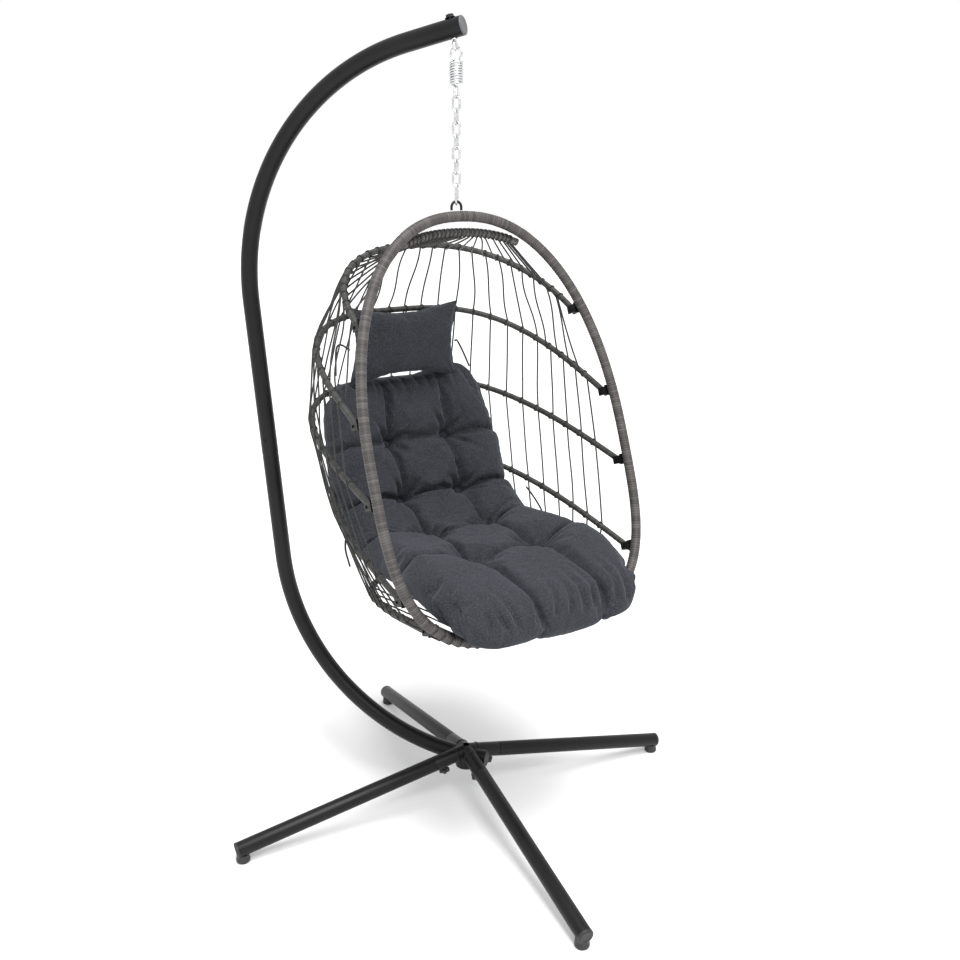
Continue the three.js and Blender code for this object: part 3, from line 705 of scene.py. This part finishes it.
def make_lower_pole(lower, along, joint):
    """The lower bend, its rounded lip and the insert that the upper bend slides over."""
    side = (1, 0, 0)
    low = resample(lower, 150)
    foot = sweep(low + HUB, POLE["radius"] - 0.0002, 48, hint=side)
    insert = sweep([joint - along * 0.01 + HUB, joint + along * 0.06 + HUB], POLE["insert"], 32,
                   hint=side)
    lip = np.array([low[-1] + np.array(along) * 0.0001 * k for k in range(3)])
    edge = sweep(lip + HUB, POLE["radius"] - 0.0005, 48, hint=side)
    parts = [foot, insert, edge]
    add_piece("pole_lower", parts, "stand", "frame", BLACK, "lower_pole", sharp=35)


def make_upper_pole(upper):
    high = resample(upper, 170)
    bar = np.full(len(high), POLE["radius"])
    bar[0] -= 0.0008
    parts = [sweep(high + HUB, bar, 48, hint=(1, 0, 0))]
    add_piece("pole_upper", parts, "stand", "frame", BLACK, "upper_pole", sharp=35)


def make_pole_screw(centre):
    """The domed head of the screw through the pole's joint, with its socket."""
    place = Matrix.Translation(HUB + centre - Vector((POLE["radius"], 0, 0)))
    head = [(0.005, -0.001), (0.005, 0.0012), (0.0042, 0.0028), (0.0022, 0.0038), (0.0018, 0.0026),
            (0.0001, 0.0026)]
    turned = place @ Matrix.Rotation(-pi / 2, 4, "Y")
    parts = [lathe(rounded(head, 0.0006), 24, turned)]
    add_piece("pole_screw_head", parts, "stand", "frame", BLACK, "pole_screw", sharp=35)


def make_plug(tip, ahead):
    """The plug in the pole's open end."""
    square = Matrix.Translation(tip) @ Matrix.Rotation(math.atan2(-ahead.y, ahead.z), 4, "X")
    r = POLE["radius"]
    plug = rounded([(r - 0.0025, -0.002), (r, 0.0002), (r, 0.0026), (r - 0.0022, 0.0048),
                    (r - 0.0065, 0.0048), (r - 0.0072, 0.004), (0.0001, 0.004)], 0.0008)
    parts = [lathe(plug, 48, square)]
    add_piece("pole_plug", parts, "stand", "grey_plastic", GREY, "pole_end_cap", sharp=50)


def make_eye(centre, ahead):
    """The eye bolt below the pole's tip and its washer and nut on top."""
    tilt = Matrix.Translation(centre) @ Matrix.Rotation(-math.atan2(ahead.z, -ahead.y), 4, "X")
    angle = np.linspace(0, 2 * pi, 64, endpoint=False)
    loop = np.stack([EYE["ring"] * np.cos(angle), 0 * angle,
                     EYE["ring"] * np.sin(angle) - EYE["drop"]], 1)
    loop = np.array([tilt @ Vector(p) for p in loop])
    neck = EYE["drop"] - EYE["ring"]
    shank = [(EYE["shank"] * 0.9, -neck - 0.001), (EYE["shank"], -neck + 0.003),
             (EYE["shank"], 0.0305), (EYE["shank"] - 0.001, 0.0315), (0.0001, 0.0315)]
    collar = [(0.0041, -0.0243), (0.008, -0.0243), (0.008, -0.0213), (0.0041, -0.0213)]
    parts = [sweep(loop, EYE["wire"], 16, closed=True), lathe(shank, 24, tilt),
             lathe(rounded(collar, 0.0006), 32, tilt)]
    add_piece("eye_bolt_loop", parts, "stand", "zinc", ZINC, "eye_bolt", sharp=35)
    washer = [(0.0045, 0.0212), (0.012, 0.0212), (0.012, 0.0228), (0.0045, 0.0228)]
    nut = [(0.0045, 0.0228), (0.0083, 0.0228), (0.009, 0.0236), (0.009, 0.0282), (0.0083, 0.029),
           (0.0045, 0.029)]
    parts = [lathe(rounded(washer, 0.0005), 40, tilt), lathe(nut, 6, tilt)]
    add_piece("eye_bolt_top_nut", parts, "stand", "frame", BLACK, "eye_bolt_nut", sharp=30)


# ---- spring and chain ----


def spring_hook(centre, start, end, sideways):
    """A round hook between two angles in degrees, in the XZ plane or in the YZ plane."""
    a = np.radians(np.linspace(start, end, 30))
    out, up = SPRING["hook"] * np.sin(a), centre + SPRING["hook"] * np.cos(a)
    return np.stack([out, 0 * a, up] if sideways else [0 * a, out, up], 1)


def make_spring():
    low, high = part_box("suspension_spring")
    top_hook = high.z - SPRING["wire"] - SPRING["hook"]
    low_hook = low.z + SPRING["wire"] + SPRING["hook"]
    turns = SPRING["coils"] + 0.25
    a = np.linspace(0.12, turns - 0.12, 260)
    coil = np.stack([
        SPRING["radius"] * np.sin(2 * pi * a), SPRING["radius"] * np.cos(2 * pi * a),
        SPRING["top"] - (SPRING["top"] - SPRING["bottom"]) * a / turns], 1)
    line = np.vstack([
        spring_hook(top_hook, -150, 150, False), coil, spring_hook(low_hook, 30, 330, True)])
    line = line + (HANG.x, HANG.y, 0)
    parts = [sweep(resample(line, 420), SPRING["wire"], 12)]
    add_piece("coil_spring", parts, "spring", "zinc", ZINC, "suspension_spring", sharp=60)


def link_loop(size, steps):
    """The axis of an upright link: two half circles and two straight sides."""
    bend, straight = size["width"] / 2 - size["wire"], size["length"] / 2 - size["width"] / 2
    a = np.linspace(0, pi, 60)
    top = np.stack([bend * np.cos(a), 0 * a, straight + bend * np.sin(a)], 1)
    low = np.stack([-bend * np.cos(a), 0 * a, -straight - bend * np.sin(a)], 1)
    return resample(np.vstack([top, low]), steps, closed=True)


def make_chain():
    bodies = {1: "link_1", 2: "link_2", 3: "links_3_4", 4: "links_3_4"}
    for i in range(1, 8):
        node = f"chain_link_{i}"
        low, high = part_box(node)
        along_y = (high.y - low.y) > (high.x - low.x)
        spin = Matrix.Rotation(pi / 2 if along_y else 0, 4, "Z")
        place = Matrix.Translation((low + high) / 2) @ spin
        bar = sweep(link_loop(LINK, 72), LINK["wire"], 14, closed=True)
        body = bodies.get(i, "links_5_7")
        add_piece(f"welded_link_{i}", [bar], body, "zinc", ZINC, node, place=place)


def make_quick_link():
    low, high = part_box("quick_link")
    place = Matrix.Translation((low + high) / 2) @ Matrix.Rotation(QUICK["turn"], 4, "Z")
    bar = sweep(link_loop(QUICK, 90), QUICK["wire"], 16, closed=True)
    body = "quick_link"
    add_piece("quick_link_body", [bar], body, "zinc", ZINC, "quick_link", place=place)
    side = Matrix.Translation((QUICK["width"] / 2 - QUICK["wire"], 0, 0))
    sleeve = [(0.0027, -0.009), (0.0045, -0.009), (0.005, -0.0084), (0.005, 0.0084),
              (0.0045, 0.009), (0.0027, 0.009)]
    parts = [lathe(sleeve, 6, place @ side)]
    add_piece("quick_link_sleeve", parts, body, "zinc", ZINC, "quick_link_nut", sharp=30)


# ---- basket frame ----


def wound_bar(path, radius, pitch, height, sides, closed=False):
    """A bar wound with flat strand: each turn is a low crown of five rings."""
    per_turn = 5
    loop = np.vstack([path, path[:1]]) if closed else path
    turns = int(round(run_of(loop)[-1] / pitch))
    count = turns * per_turn + (0 if closed else 1)
    phase = (np.arange(count) % per_turn) / per_turn
    crown = np.where(phase == 0, 0.0, 1.0)
    crown = crown * (1 - 0.5 * (2 * phase - 1) ** 4)
    wobble = np.random.default_rng(7).uniform(-0.2, 0.2, turns + 1)[np.arange(count) // per_turn]
    radii = radius - height + height * crown * (1 + wobble)
    return sweep(resample(path, count, closed=closed), radii, sides, closed=closed)


def make_rim():
    parts = [wound_bar(rim_path(), RIM["radius"], WIND["rim"], 0.0009, 20, closed=True)]
    add_piece("wound_rim", parts, "basket", "rattan", RATTAN, "rim", place=BASKET)


def make_bow():
    parts = [wound_bar(bow_path(), BOW["radius"], WIND["rib"], 0.0009, 16)]
    add_piece("wound_bow", parts, "basket", "rattan", BOW_WRAP, "top_bow", place=BASKET)


def make_ring():
    """The hanging ring: a half circle on two legs that are welded to the rim."""
    low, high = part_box("hanging_ring")
    centre = np.array((HANG.x, HANG.y, high.z - RING["wire"] - RING["radius"]))
    side = Vector((across.x, across.y, 0)).normalized()
    a = np.linspace(pi, 0, 24)
    arch = centre + np.outer(RING["radius"] * np.cos(a), side)
    arch[:, 2] += RING["radius"] * np.sin(a)
    leg = np.array((0, 0, centre[2] - low.z - 0.0003))
    line = np.vstack([arch[0] - leg, arch, arch[-1] - leg])
    parts = [sweep(resample(line, 48), RING["wire"], 14)]
    add_piece("welded_ring", parts, "basket", "frame", BLACK, "hanging_ring", sharp=60)


def make_ribs():
    for i, rib in enumerate(RIBS, 1):
        parts, node = [wound_bar(rib_path(rib), RIB_RADIUS, WIND["rib"], 0.0006, 14)], f"rib_{i}"
        add_piece("wound_" + node, parts, node, "rib_wrap", RIB_WRAP, node, place=BASKET)
        for side in ("left", "right"):
            bracket = frame["nodes"][f"rib_bracket_{side}_{i}"]
            for held in bracket.material_slots:
                held.material = BLACK


# ---- cords ----


class Rail:
    """A bar that cords are tied to, with evenly spaced stations along it."""

    def __init__(self, path, bar):
        edge = CORD["edge"]
        self.bar = bar
        self.points = resample(path, CORD["strands"], start=edge, end=1 - edge)
        near = resample(path, 4000)
        last = len(near) - 1
        index = [int(np.argmin(np.linalg.norm(near - p, axis=1))) for p in self.points]
        ahead = np.array([near[min(i + 3, last)] - near[max(i - 3, 0)] for i in index])
        self.ahead = ahead / np.linalg.norm(ahead, axis=1)[:, None]

    def outside(self, i, climb):
        """Where a cord that climbs past station i touches the bar's outer side."""
        out = np.cross(self.ahead[i], climb)
        out /= np.linalg.norm(out)
        if out[1] < 0:
            out = -out
        return self.points[i] + out * (self.bar + CORD["radius"] * 0.4)


def strand_line(high, low, i, slack):
    """Strand i of a tier: straight between its bars, but for a slight sag and sway."""
    climb = high.points[i] - low.points[i]
    climb = climb / np.linalg.norm(climb)
    t = np.linspace(0, 1, 15)[:, None]
    line = high.outside(i, climb) * (1 - t) + low.outside(i, climb) * t
    return line + np.sin(pi * t) * slack[0] + np.sin(2 * pi * t) * slack[1]


def make_cords():
    """Six tiers of cord, from the bow over the five ribs to the rim's foot."""
    rails = [Rail(bow_path(), BOW["radius"])]
    rails += [Rail(rib_path(rib), RIB_RADIUS) for rib in RIBS]
    rails.append(Rail(front_bar_path(), RIM["radius"]))
    tiers = ["bow_to_rib_1"] + [f"rib_{i}_to_{i + 1}" for i in range(1, 5)] + ["rib_5_to_rim"]
    random = np.random.default_rng(3)
    for tier, name in enumerate(tiers):
        loose = 3.5 if tier == 1 else 1
        parts = []
        for i in range(CORD["strands"]):
            slack = random.normal(0, 1, (2, 3)) * (0.0009, 0.0006, 0.0003) * loose
            line = strand_line(rails[tier], rails[tier + 1], i, slack)
            parts.append(sweep(line, CORD["radius"], 8))
        thing = collect("strands_" + name, parts, BASKET)
        thing.data.materials.append(CORD_SKIN)
        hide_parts("cords_" + name)
        attach_tier(thing, tier, rails)
    make_knots(rails)


def attach_tier(thing, tier, rails):
    """The end tiers are baked in place; the others go with the rib above them and get a mesh of their
    own.
    """
    if tier in (0, len(rails) - 2):
        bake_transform(thing)
        return
    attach(thing, f"rib_{tier}")
    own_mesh(thing)


def knot_line(rail, i):
    """A cord's one and a half turns round a bar, starting on its outer side."""
    turns, pitch = 1.5, 0.0032
    ahead = rail.ahead[i]
    out = np.array((0.0, 1.0, 0.3))
    out -= ahead * np.dot(out, ahead)
    out /= np.linalg.norm(out)
    side = np.cross(ahead, out)
    a = np.linspace(0, turns * 2 * pi, int(turns * 14))
    ring = np.outer(np.cos(a), out) + np.outer(np.sin(a), side)
    along = (a / (2 * pi) - turns / 2) * pitch
    return rail.points[i] + (rail.bar + CORD["knot"] * 0.5) * ring + np.outer(along, ahead)


def make_knots(rails):
    owners = ["basket"] + [f"rib_{i}" for i in range(1, 6)] + ["basket"]
    for k, (rail, owner) in enumerate(zip(rails, owners)):
        parts = [sweep(knot_line(rail, i), CORD["knot"], 8) for i in range(CORD["strands"])]
        add_piece(f"knots_{k}", parts, owner, "cord", CORD_SKIN, place=BASKET)


# ---- padded parts ----


def rounded_square(a, b, corner):
    """Moves a square grid's corners in, so its outline turns them on a curve."""
    inward = 2 / (corner + 2)
    return (a * np.sqrt(1 - inward * np.abs(b) ** corner),
            b * np.sqrt(1 - inward * np.abs(a) ** corner))


def two_sheets(name, front, back):
    """A closed pad from two grids of points that share their outline."""
    rows, columns = front.shape[:2]
    front_index = np.arange(rows * columns).reshape(rows, columns)
    back_index = front_index.copy()
    inner = (slice(1, -1), slice(1, -1))
    back_index[inner] = rows * columns + np.arange((rows - 2) * (columns - 2)).reshape(
        rows - 2, columns - 2)
    verts = np.vstack([front.reshape(-1, 3), back[inner].reshape(-1, 3)])
    faces = []
    for index, flip in ((front_index, False), (back_index, True)):
        corners = [index[:-1, :-1], index[:-1, 1:], index[1:, 1:], index[1:, :-1]]
        quads = np.stack(corners[::-1] if flip else corners, 2).reshape(-1, 4)
        faces.extend(map(tuple, quads.tolist()))
    quads = verts[np.array(faces)]
    volume = np.einsum("ij,ij->i", quads[:, 0], np.cross(quads[:, 1], quads[:, 2])).sum()
    if volume < 0:
        faces = [face[::-1] for face in faces]
    mesh = bpy.data.meshes.new(name)
    mesh.from_pydata(verts.tolist(), [], faces)
    mesh.transform(BASKET)
    mesh.polygons.foreach_set("use_smooth", np.ones(len(mesh.polygons), bool))
    thing = bpy.data.objects.new(name, mesh)
    bpy.context.collection.objects.link(thing)
    return thing, front_index, back_index


def read_vertices(mesh, what="co"):
    values = np.empty(len(mesh.vertices) * 3)
    mesh.vertices.foreach_get(what, values)
    return values


def filled(thing, held, growth, pressure, frames):
    """The vertices after a cloth simulation blows the pad up while its tufts are held."""
    group = thing.vertex_groups.new(name="held")
    group.add([int(i) for i in held], 1.0, "REPLACE")
    cloth = thing.modifiers.new("cloth", "CLOTH")
    settings = cloth.settings
    for key, value in CLOTH.items():
        setattr(settings, key, value)
    settings.uniform_pressure_force = pressure
    settings.shrink_min = -growth
    settings.vertex_group_mass = "held"
    settings.effector_weights.gravity = 0
    cloth.collision_settings.use_collision = False
    cloth.point_cache.frame_end = frames
    scene = bpy.context.scene
    for step in range(1, frames + 1):
        scene.frame_set(step)
    blown = thing.evaluated_get(bpy.context.evaluated_depsgraph_get())
    end = read_vertices(blown.to_mesh())
    thing.modifiers.remove(cloth)
    thing.vertex_groups.clear()
    scene.frame_set(1)
    return end


def inflate(thing, held, fill, dents=None):
    """Fills a pad, moves no point past the cap, presses the dents in, and smooths it once."""
    mesh = thing.data
    start = read_vertices(mesh)
    end = filled(thing, held, fill["growth"], fill["pressure"], fill["frames"])
    moved = (end - start).reshape(-1, 3)
    far = np.linalg.norm(moved, axis=1)
    moved *= (np.minimum(far, fill["cap"]) / np.maximum(far, 1e-9))[:, None]
    mesh.vertices.foreach_set("co", start + moved.ravel())
    mesh.update()
    if dents is not None:
        pressed = read_vertices(mesh) - read_vertices(mesh, "normal") * np.repeat(dents, 3)
        mesh.vertices.foreach_set("co", pressed)
        mesh.update()
    smoother = thing.modifiers.new("smooth", "SUBSURF")
    smoother.levels = 1
    smoother.render_levels = 1
    final = bpy.data.meshes.new_from_object(
        thing.evaluated_get(bpy.context.evaluated_depsgraph_get()))
    thing.modifiers.clear()
    thing.data = final


def fold_line(right, down, way, reach):
    """A crease that leaves a point in one direction and fades out over its reach."""
    ahead = right * cos(way) + down * sin(way)
    aside = down * cos(way) - right * sin(way)
    fade = np.exp(-((np.maximum(ahead - 0.012, 0) / reach) ** 2)) * (ahead > 0)
    valley = np.exp(-((aside / 0.0050) ** 2))
    shoulders = np.exp(-(((np.abs(aside) - 0.012) / 0.007) ** 2))
    return fade * (valley - 0.30 * shoulders)


# ---- seat cushion ----


def cushion_line(count):
    """The pad's middle line with its spares: straight on at the top, draped down at the lip."""
    line = smooth_path([(0, depth / 1000, -drop / 1000) for drop, depth in CUSHION_LINE], count)
    head = line[0] - line[20]
    head *= CUSHION["spare_top"] / np.linalg.norm(head)
    bend = np.linspace(0.2, 1, 5)[:, None] * CUSHION["spare_lip"]
    drape = line[-1] + bend * (0, -0.72, -0.69)
    return resample(np.vstack([line[0] + head, line, drape]), count)


class CushionGrid:
    """Points of a sheet: a runs across it from -1 to 1, along runs down it from 0 to 1."""

    def __init__(self):
        a, b = np.meshgrid(np.linspace(-1, 1, 102), np.linspace(-1, 1, 190))
        a, b = rounded_square(a, b, 7)
        shoulder = 0.026 * np.exp(-(((a - 0.72) / 0.34) ** 2))
        along = (b + 1) / 2
        self.a, self.along = a, along - shoulder * (1 - along) ** 4
        self.full = (1 - np.abs(a) ** 3.5).clip(0) ** 0.55 * (1 - np.abs(b) ** 9).clip(0) ** 0.55
        self.line = cushion_line(600)
        self.length = run_of(self.line)[-1]
        start = CUSHION["front_start"]
        self.front = np.clip((self.along - start) / (1 - start), 0, 1) ** 1.5
        half = CUSHION["top"] + (CUSHION["back"] - CUSHION["top"]) * np.clip(self.along * 4, 0, 1)
        half = half + (CUSHION["seat"] - half) * np.clip(self.along * 2 - 1, 0, 1)
        self.half = half * (1 - CUSHION["front_narrowing"] * self.front * (1 + a) / 2)

    def offset(self, across, down):
        """How far each point is to the right of a place on the pad and below it."""
        return (self.a - across) * self.half, (self.along - down) * self.length

    def tufts(self):
        return [self.offset(column, row) for row in TUFT_ROWS for column in TUFT_COLUMNS]

    def middle(self):
        """The pad's middle surface at each point, and the way it faces."""
        tangent = np.gradient(self.line, axis=0)
        tangent /= np.linalg.norm(tangent, axis=1)[:, None]
        steps = len(self.line)
        at = self.along * (steps - 1)
        beyond = np.minimum(at, 0) * self.length / steps
        y, z, back, up = (np.interp(at, np.arange(steps), values) for values in (
            self.line[:, 1], self.line[:, 2], tangent[:, 2], tangent[:, 1]))
        across = CUSHION["offset"] + self.half * self.a
        return np.stack([across, y, z - beyond], 2), np.stack([0 * at, back, -up], 2)

    def folds(self, random):
        """Creases: nine round each tuft, and short ones along both sewn ends."""
        folds = np.zeros(self.a.shape)
        for right, down in self.tufts():
            for way in np.arange(9) * 2 * pi / 9 + random.uniform(-0.3, 0.3, 9):
                folds += fold_line(right, down, way, random.uniform(0.03, 0.066))
        for x in np.arange(-0.86, 0.9, 0.13) + random.uniform(-0.03, 0.03, 14):
            for edge, way in ((0.012, pi / 2), (0.985, -pi / 2)):
                lean = random.uniform(-0.35, 0.35)
                folds += fold_line(*self.offset(x, edge), way + lean, random.uniform(0.025, 0.06))
        return folds.clip(-0.5, 1.3)

    def grooves(self):
        """Sewn grooves along the tufts' rows and columns, deepest at the tufts."""
        to_row = np.min([np.abs(self.offset(0, row)[1]) for row in TUFT_ROWS], axis=0)
        to_column = np.min([np.abs(self.offset(column, 0)[0]) for column in TUFT_COLUMNS], axis=0)
        nearest = np.min([np.hypot(right, down) for right, down in self.tufts()], axis=0)
        lines = 0.46 * np.exp(-((to_row / 0.013) ** 2)) + 0.46 * np.exp(-((to_column / 0.013) ** 2))
        return np.maximum(lines, 1.05 * np.exp(-((nearest / 0.028) ** 2)))

    def pins(self, sheets):
        """The three by three grid points that each tuft holds, on both sheets."""
        pins = []
        for right, down in self.tufts():
            off = np.hypot(right, down)
            row, column = np.unravel_index(np.argmin(off), off.shape)
            for sheet in sheets:
                pins += sheet[row - 1:row + 2, column - 1:column + 2].ravel().tolist()
        return pins


def make_cushion():
    """A tufted pad: two sheets sewn round their edge and drawn together at eight tufts."""
    grid = CushionGrid()
    middle, facing = grid.middle()
    random = np.random.default_rng(11)
    folds = grid.folds(random)
    rough = random.normal(0, 0.0006, grid.a.shape) * grid.full
    puff = grid.full * (1 - grid.grooves())
    curl = CUSHION["curl"] * grid.a**2 * (1 - 0.75 * grid.front)
    front = middle + facing * (curl + CUSHION["thick"] * 0.80 * puff + rough)[:, :, None]
    back = middle + facing * (curl - CUSHION["thick"] * 0.50 * puff)[:, :, None]
    thing, *sheets = two_sheets("tufted_cushion", front, back)
    dents = np.zeros(len(thing.data.vertices))
    dents[sheets[0]] = 0.0092 * folds * grid.full**0.3
    inflate(thing, grid.pins(sheets), CUSHION_FILL, dents)
    dress(thing, "basket", "cushion_fabric", FABRIC, "seat_cushion")
    fold_with_basket(thing)


# ---- pillow ----


def corner_creases(a, b, wide, tall, random):
    """Four creases that run inward from each corner."""
    creases = np.zeros(a.shape)
    for right, down in ((-1, -1), (-1, 1), (1, -1), (1, 1)):
        inward = math.atan2(-down, -right)
        for lean in random.uniform(-0.6, 0.6, 4):
            reach = random.uniform(0.03, 0.06)
            crease = fold_line((a - right) * wide, (b - down) * tall, inward + lean, reach)
            creases = np.maximum(creases, 0.006 * crease)
    return creases


def make_pillow():
    """Two rectangles sewn together and filled, so the sides pull in between peaked corners."""
    rows, columns = 44, 70
    a, b = np.meshgrid(np.linspace(-1, 1, columns), np.linspace(-1, 1, rows))
    swell = ((1 - a**2) * (1 - b**2)).clip(0) ** 0.45 * PILLOW["thick"] / 2 * 0.8
    waist_a, waist_b = 1 - 0.10 * (1 - b**2), 1 - 0.11 * (1 - a**2)
    random = np.random.default_rng(5)
    rough = random.normal(0, 0.0005, a.shape)
    turn = Matrix.Rotation(PILLOW["tilt"], 3, "X")
    centre = np.array((0, PILLOW["depth"], -PILLOW["drop"]))
    wide = PILLOW["width"] / 2 + PILLOW["spare"]
    tall = PILLOW["height"] / 2 + PILLOW["spare"]
    creases = corner_creases(a, b, wide, tall, random) * (swell > 0.002)
    sheets = []
    for side in (-1, 1):
        flat = np.stack(
            [a * wide * waist_a, side * (swell - creases) + rough, -b * tall * waist_b], 2)
        sheets.append(flat @ np.array(turn).T + centre)
    thing, front_index, _ = two_sheets("sewn_pillow", *sheets)
    corners = [front_index[r, c] for r in (0, -1) for c in (0, -1)]
    inflate(thing, corners, PILLOW_FILL)
    dress(thing, "basket", "cushion_fabric", FABRIC, "head_pillow")
    fold_with_basket(thing)


make_legs()
make_hub()
make_pole()
make_spring()
make_chain()
make_quick_link()
make_rim()
make_bow()
make_ring()
make_ribs()
make_cords()
make_cushion()
make_pillow()

# ---- floor and light ----


def make_floor():
    size = 60
    mesh = bpy.data.meshes.new("floor")
    corners = [(-size, -size, 0), (size, -size, 0), (size, size, 0), (-size, size, 0)]
    mesh.from_pydata(corners, [], [(0, 1, 2, 3)])
    floor = bpy.data.objects.new("floor", mesh)
    bpy.context.collection.objects.link(floor)
    s = Shader("floor", Roughness=0.9)
    broad = s.noise(s.coords(), 0.8, 2)
    s.colour(s.ramp(broad, [(0.3, (0.82, 0.82, 0.82)), (0.7, (0.85, 0.85, 0.85))]))
    mesh.materials.append(s.material)


def make_world():
    world = bpy.data.worlds.new("world")
    bpy.context.scene.world = world
    world.use_nodes = True
    background = world.node_tree.nodes["Background"]
    background.inputs["Color"].default_value = (1, 1, 1, 1)
    background.inputs["Strength"].default_value = 1.0
    bpy.context.scene.view_settings.view_transform = "Standard"


def make_light(name, kind, place, towards, energy):
    data = bpy.data.lights.new(name, kind)
    data.energy = energy
    light = bpy.data.objects.new(name, data)
    light.location = place
    light.rotation_euler = Vector(towards).to_track_quat("-Z", "Y").to_euler()
    bpy.context.collection.objects.link(light)
    return data


make_floor()
make_world()
key = make_light("key", "AREA", (-2.6, -1.8, 4.2), (2.6, 1.8, -3.3), 110)
key.size = 1.4
sun = make_light("sun", "SUN", (0, 0, 0), (0.25, 0.15, -1.0), 2.2)
sun.angle = radians(25)
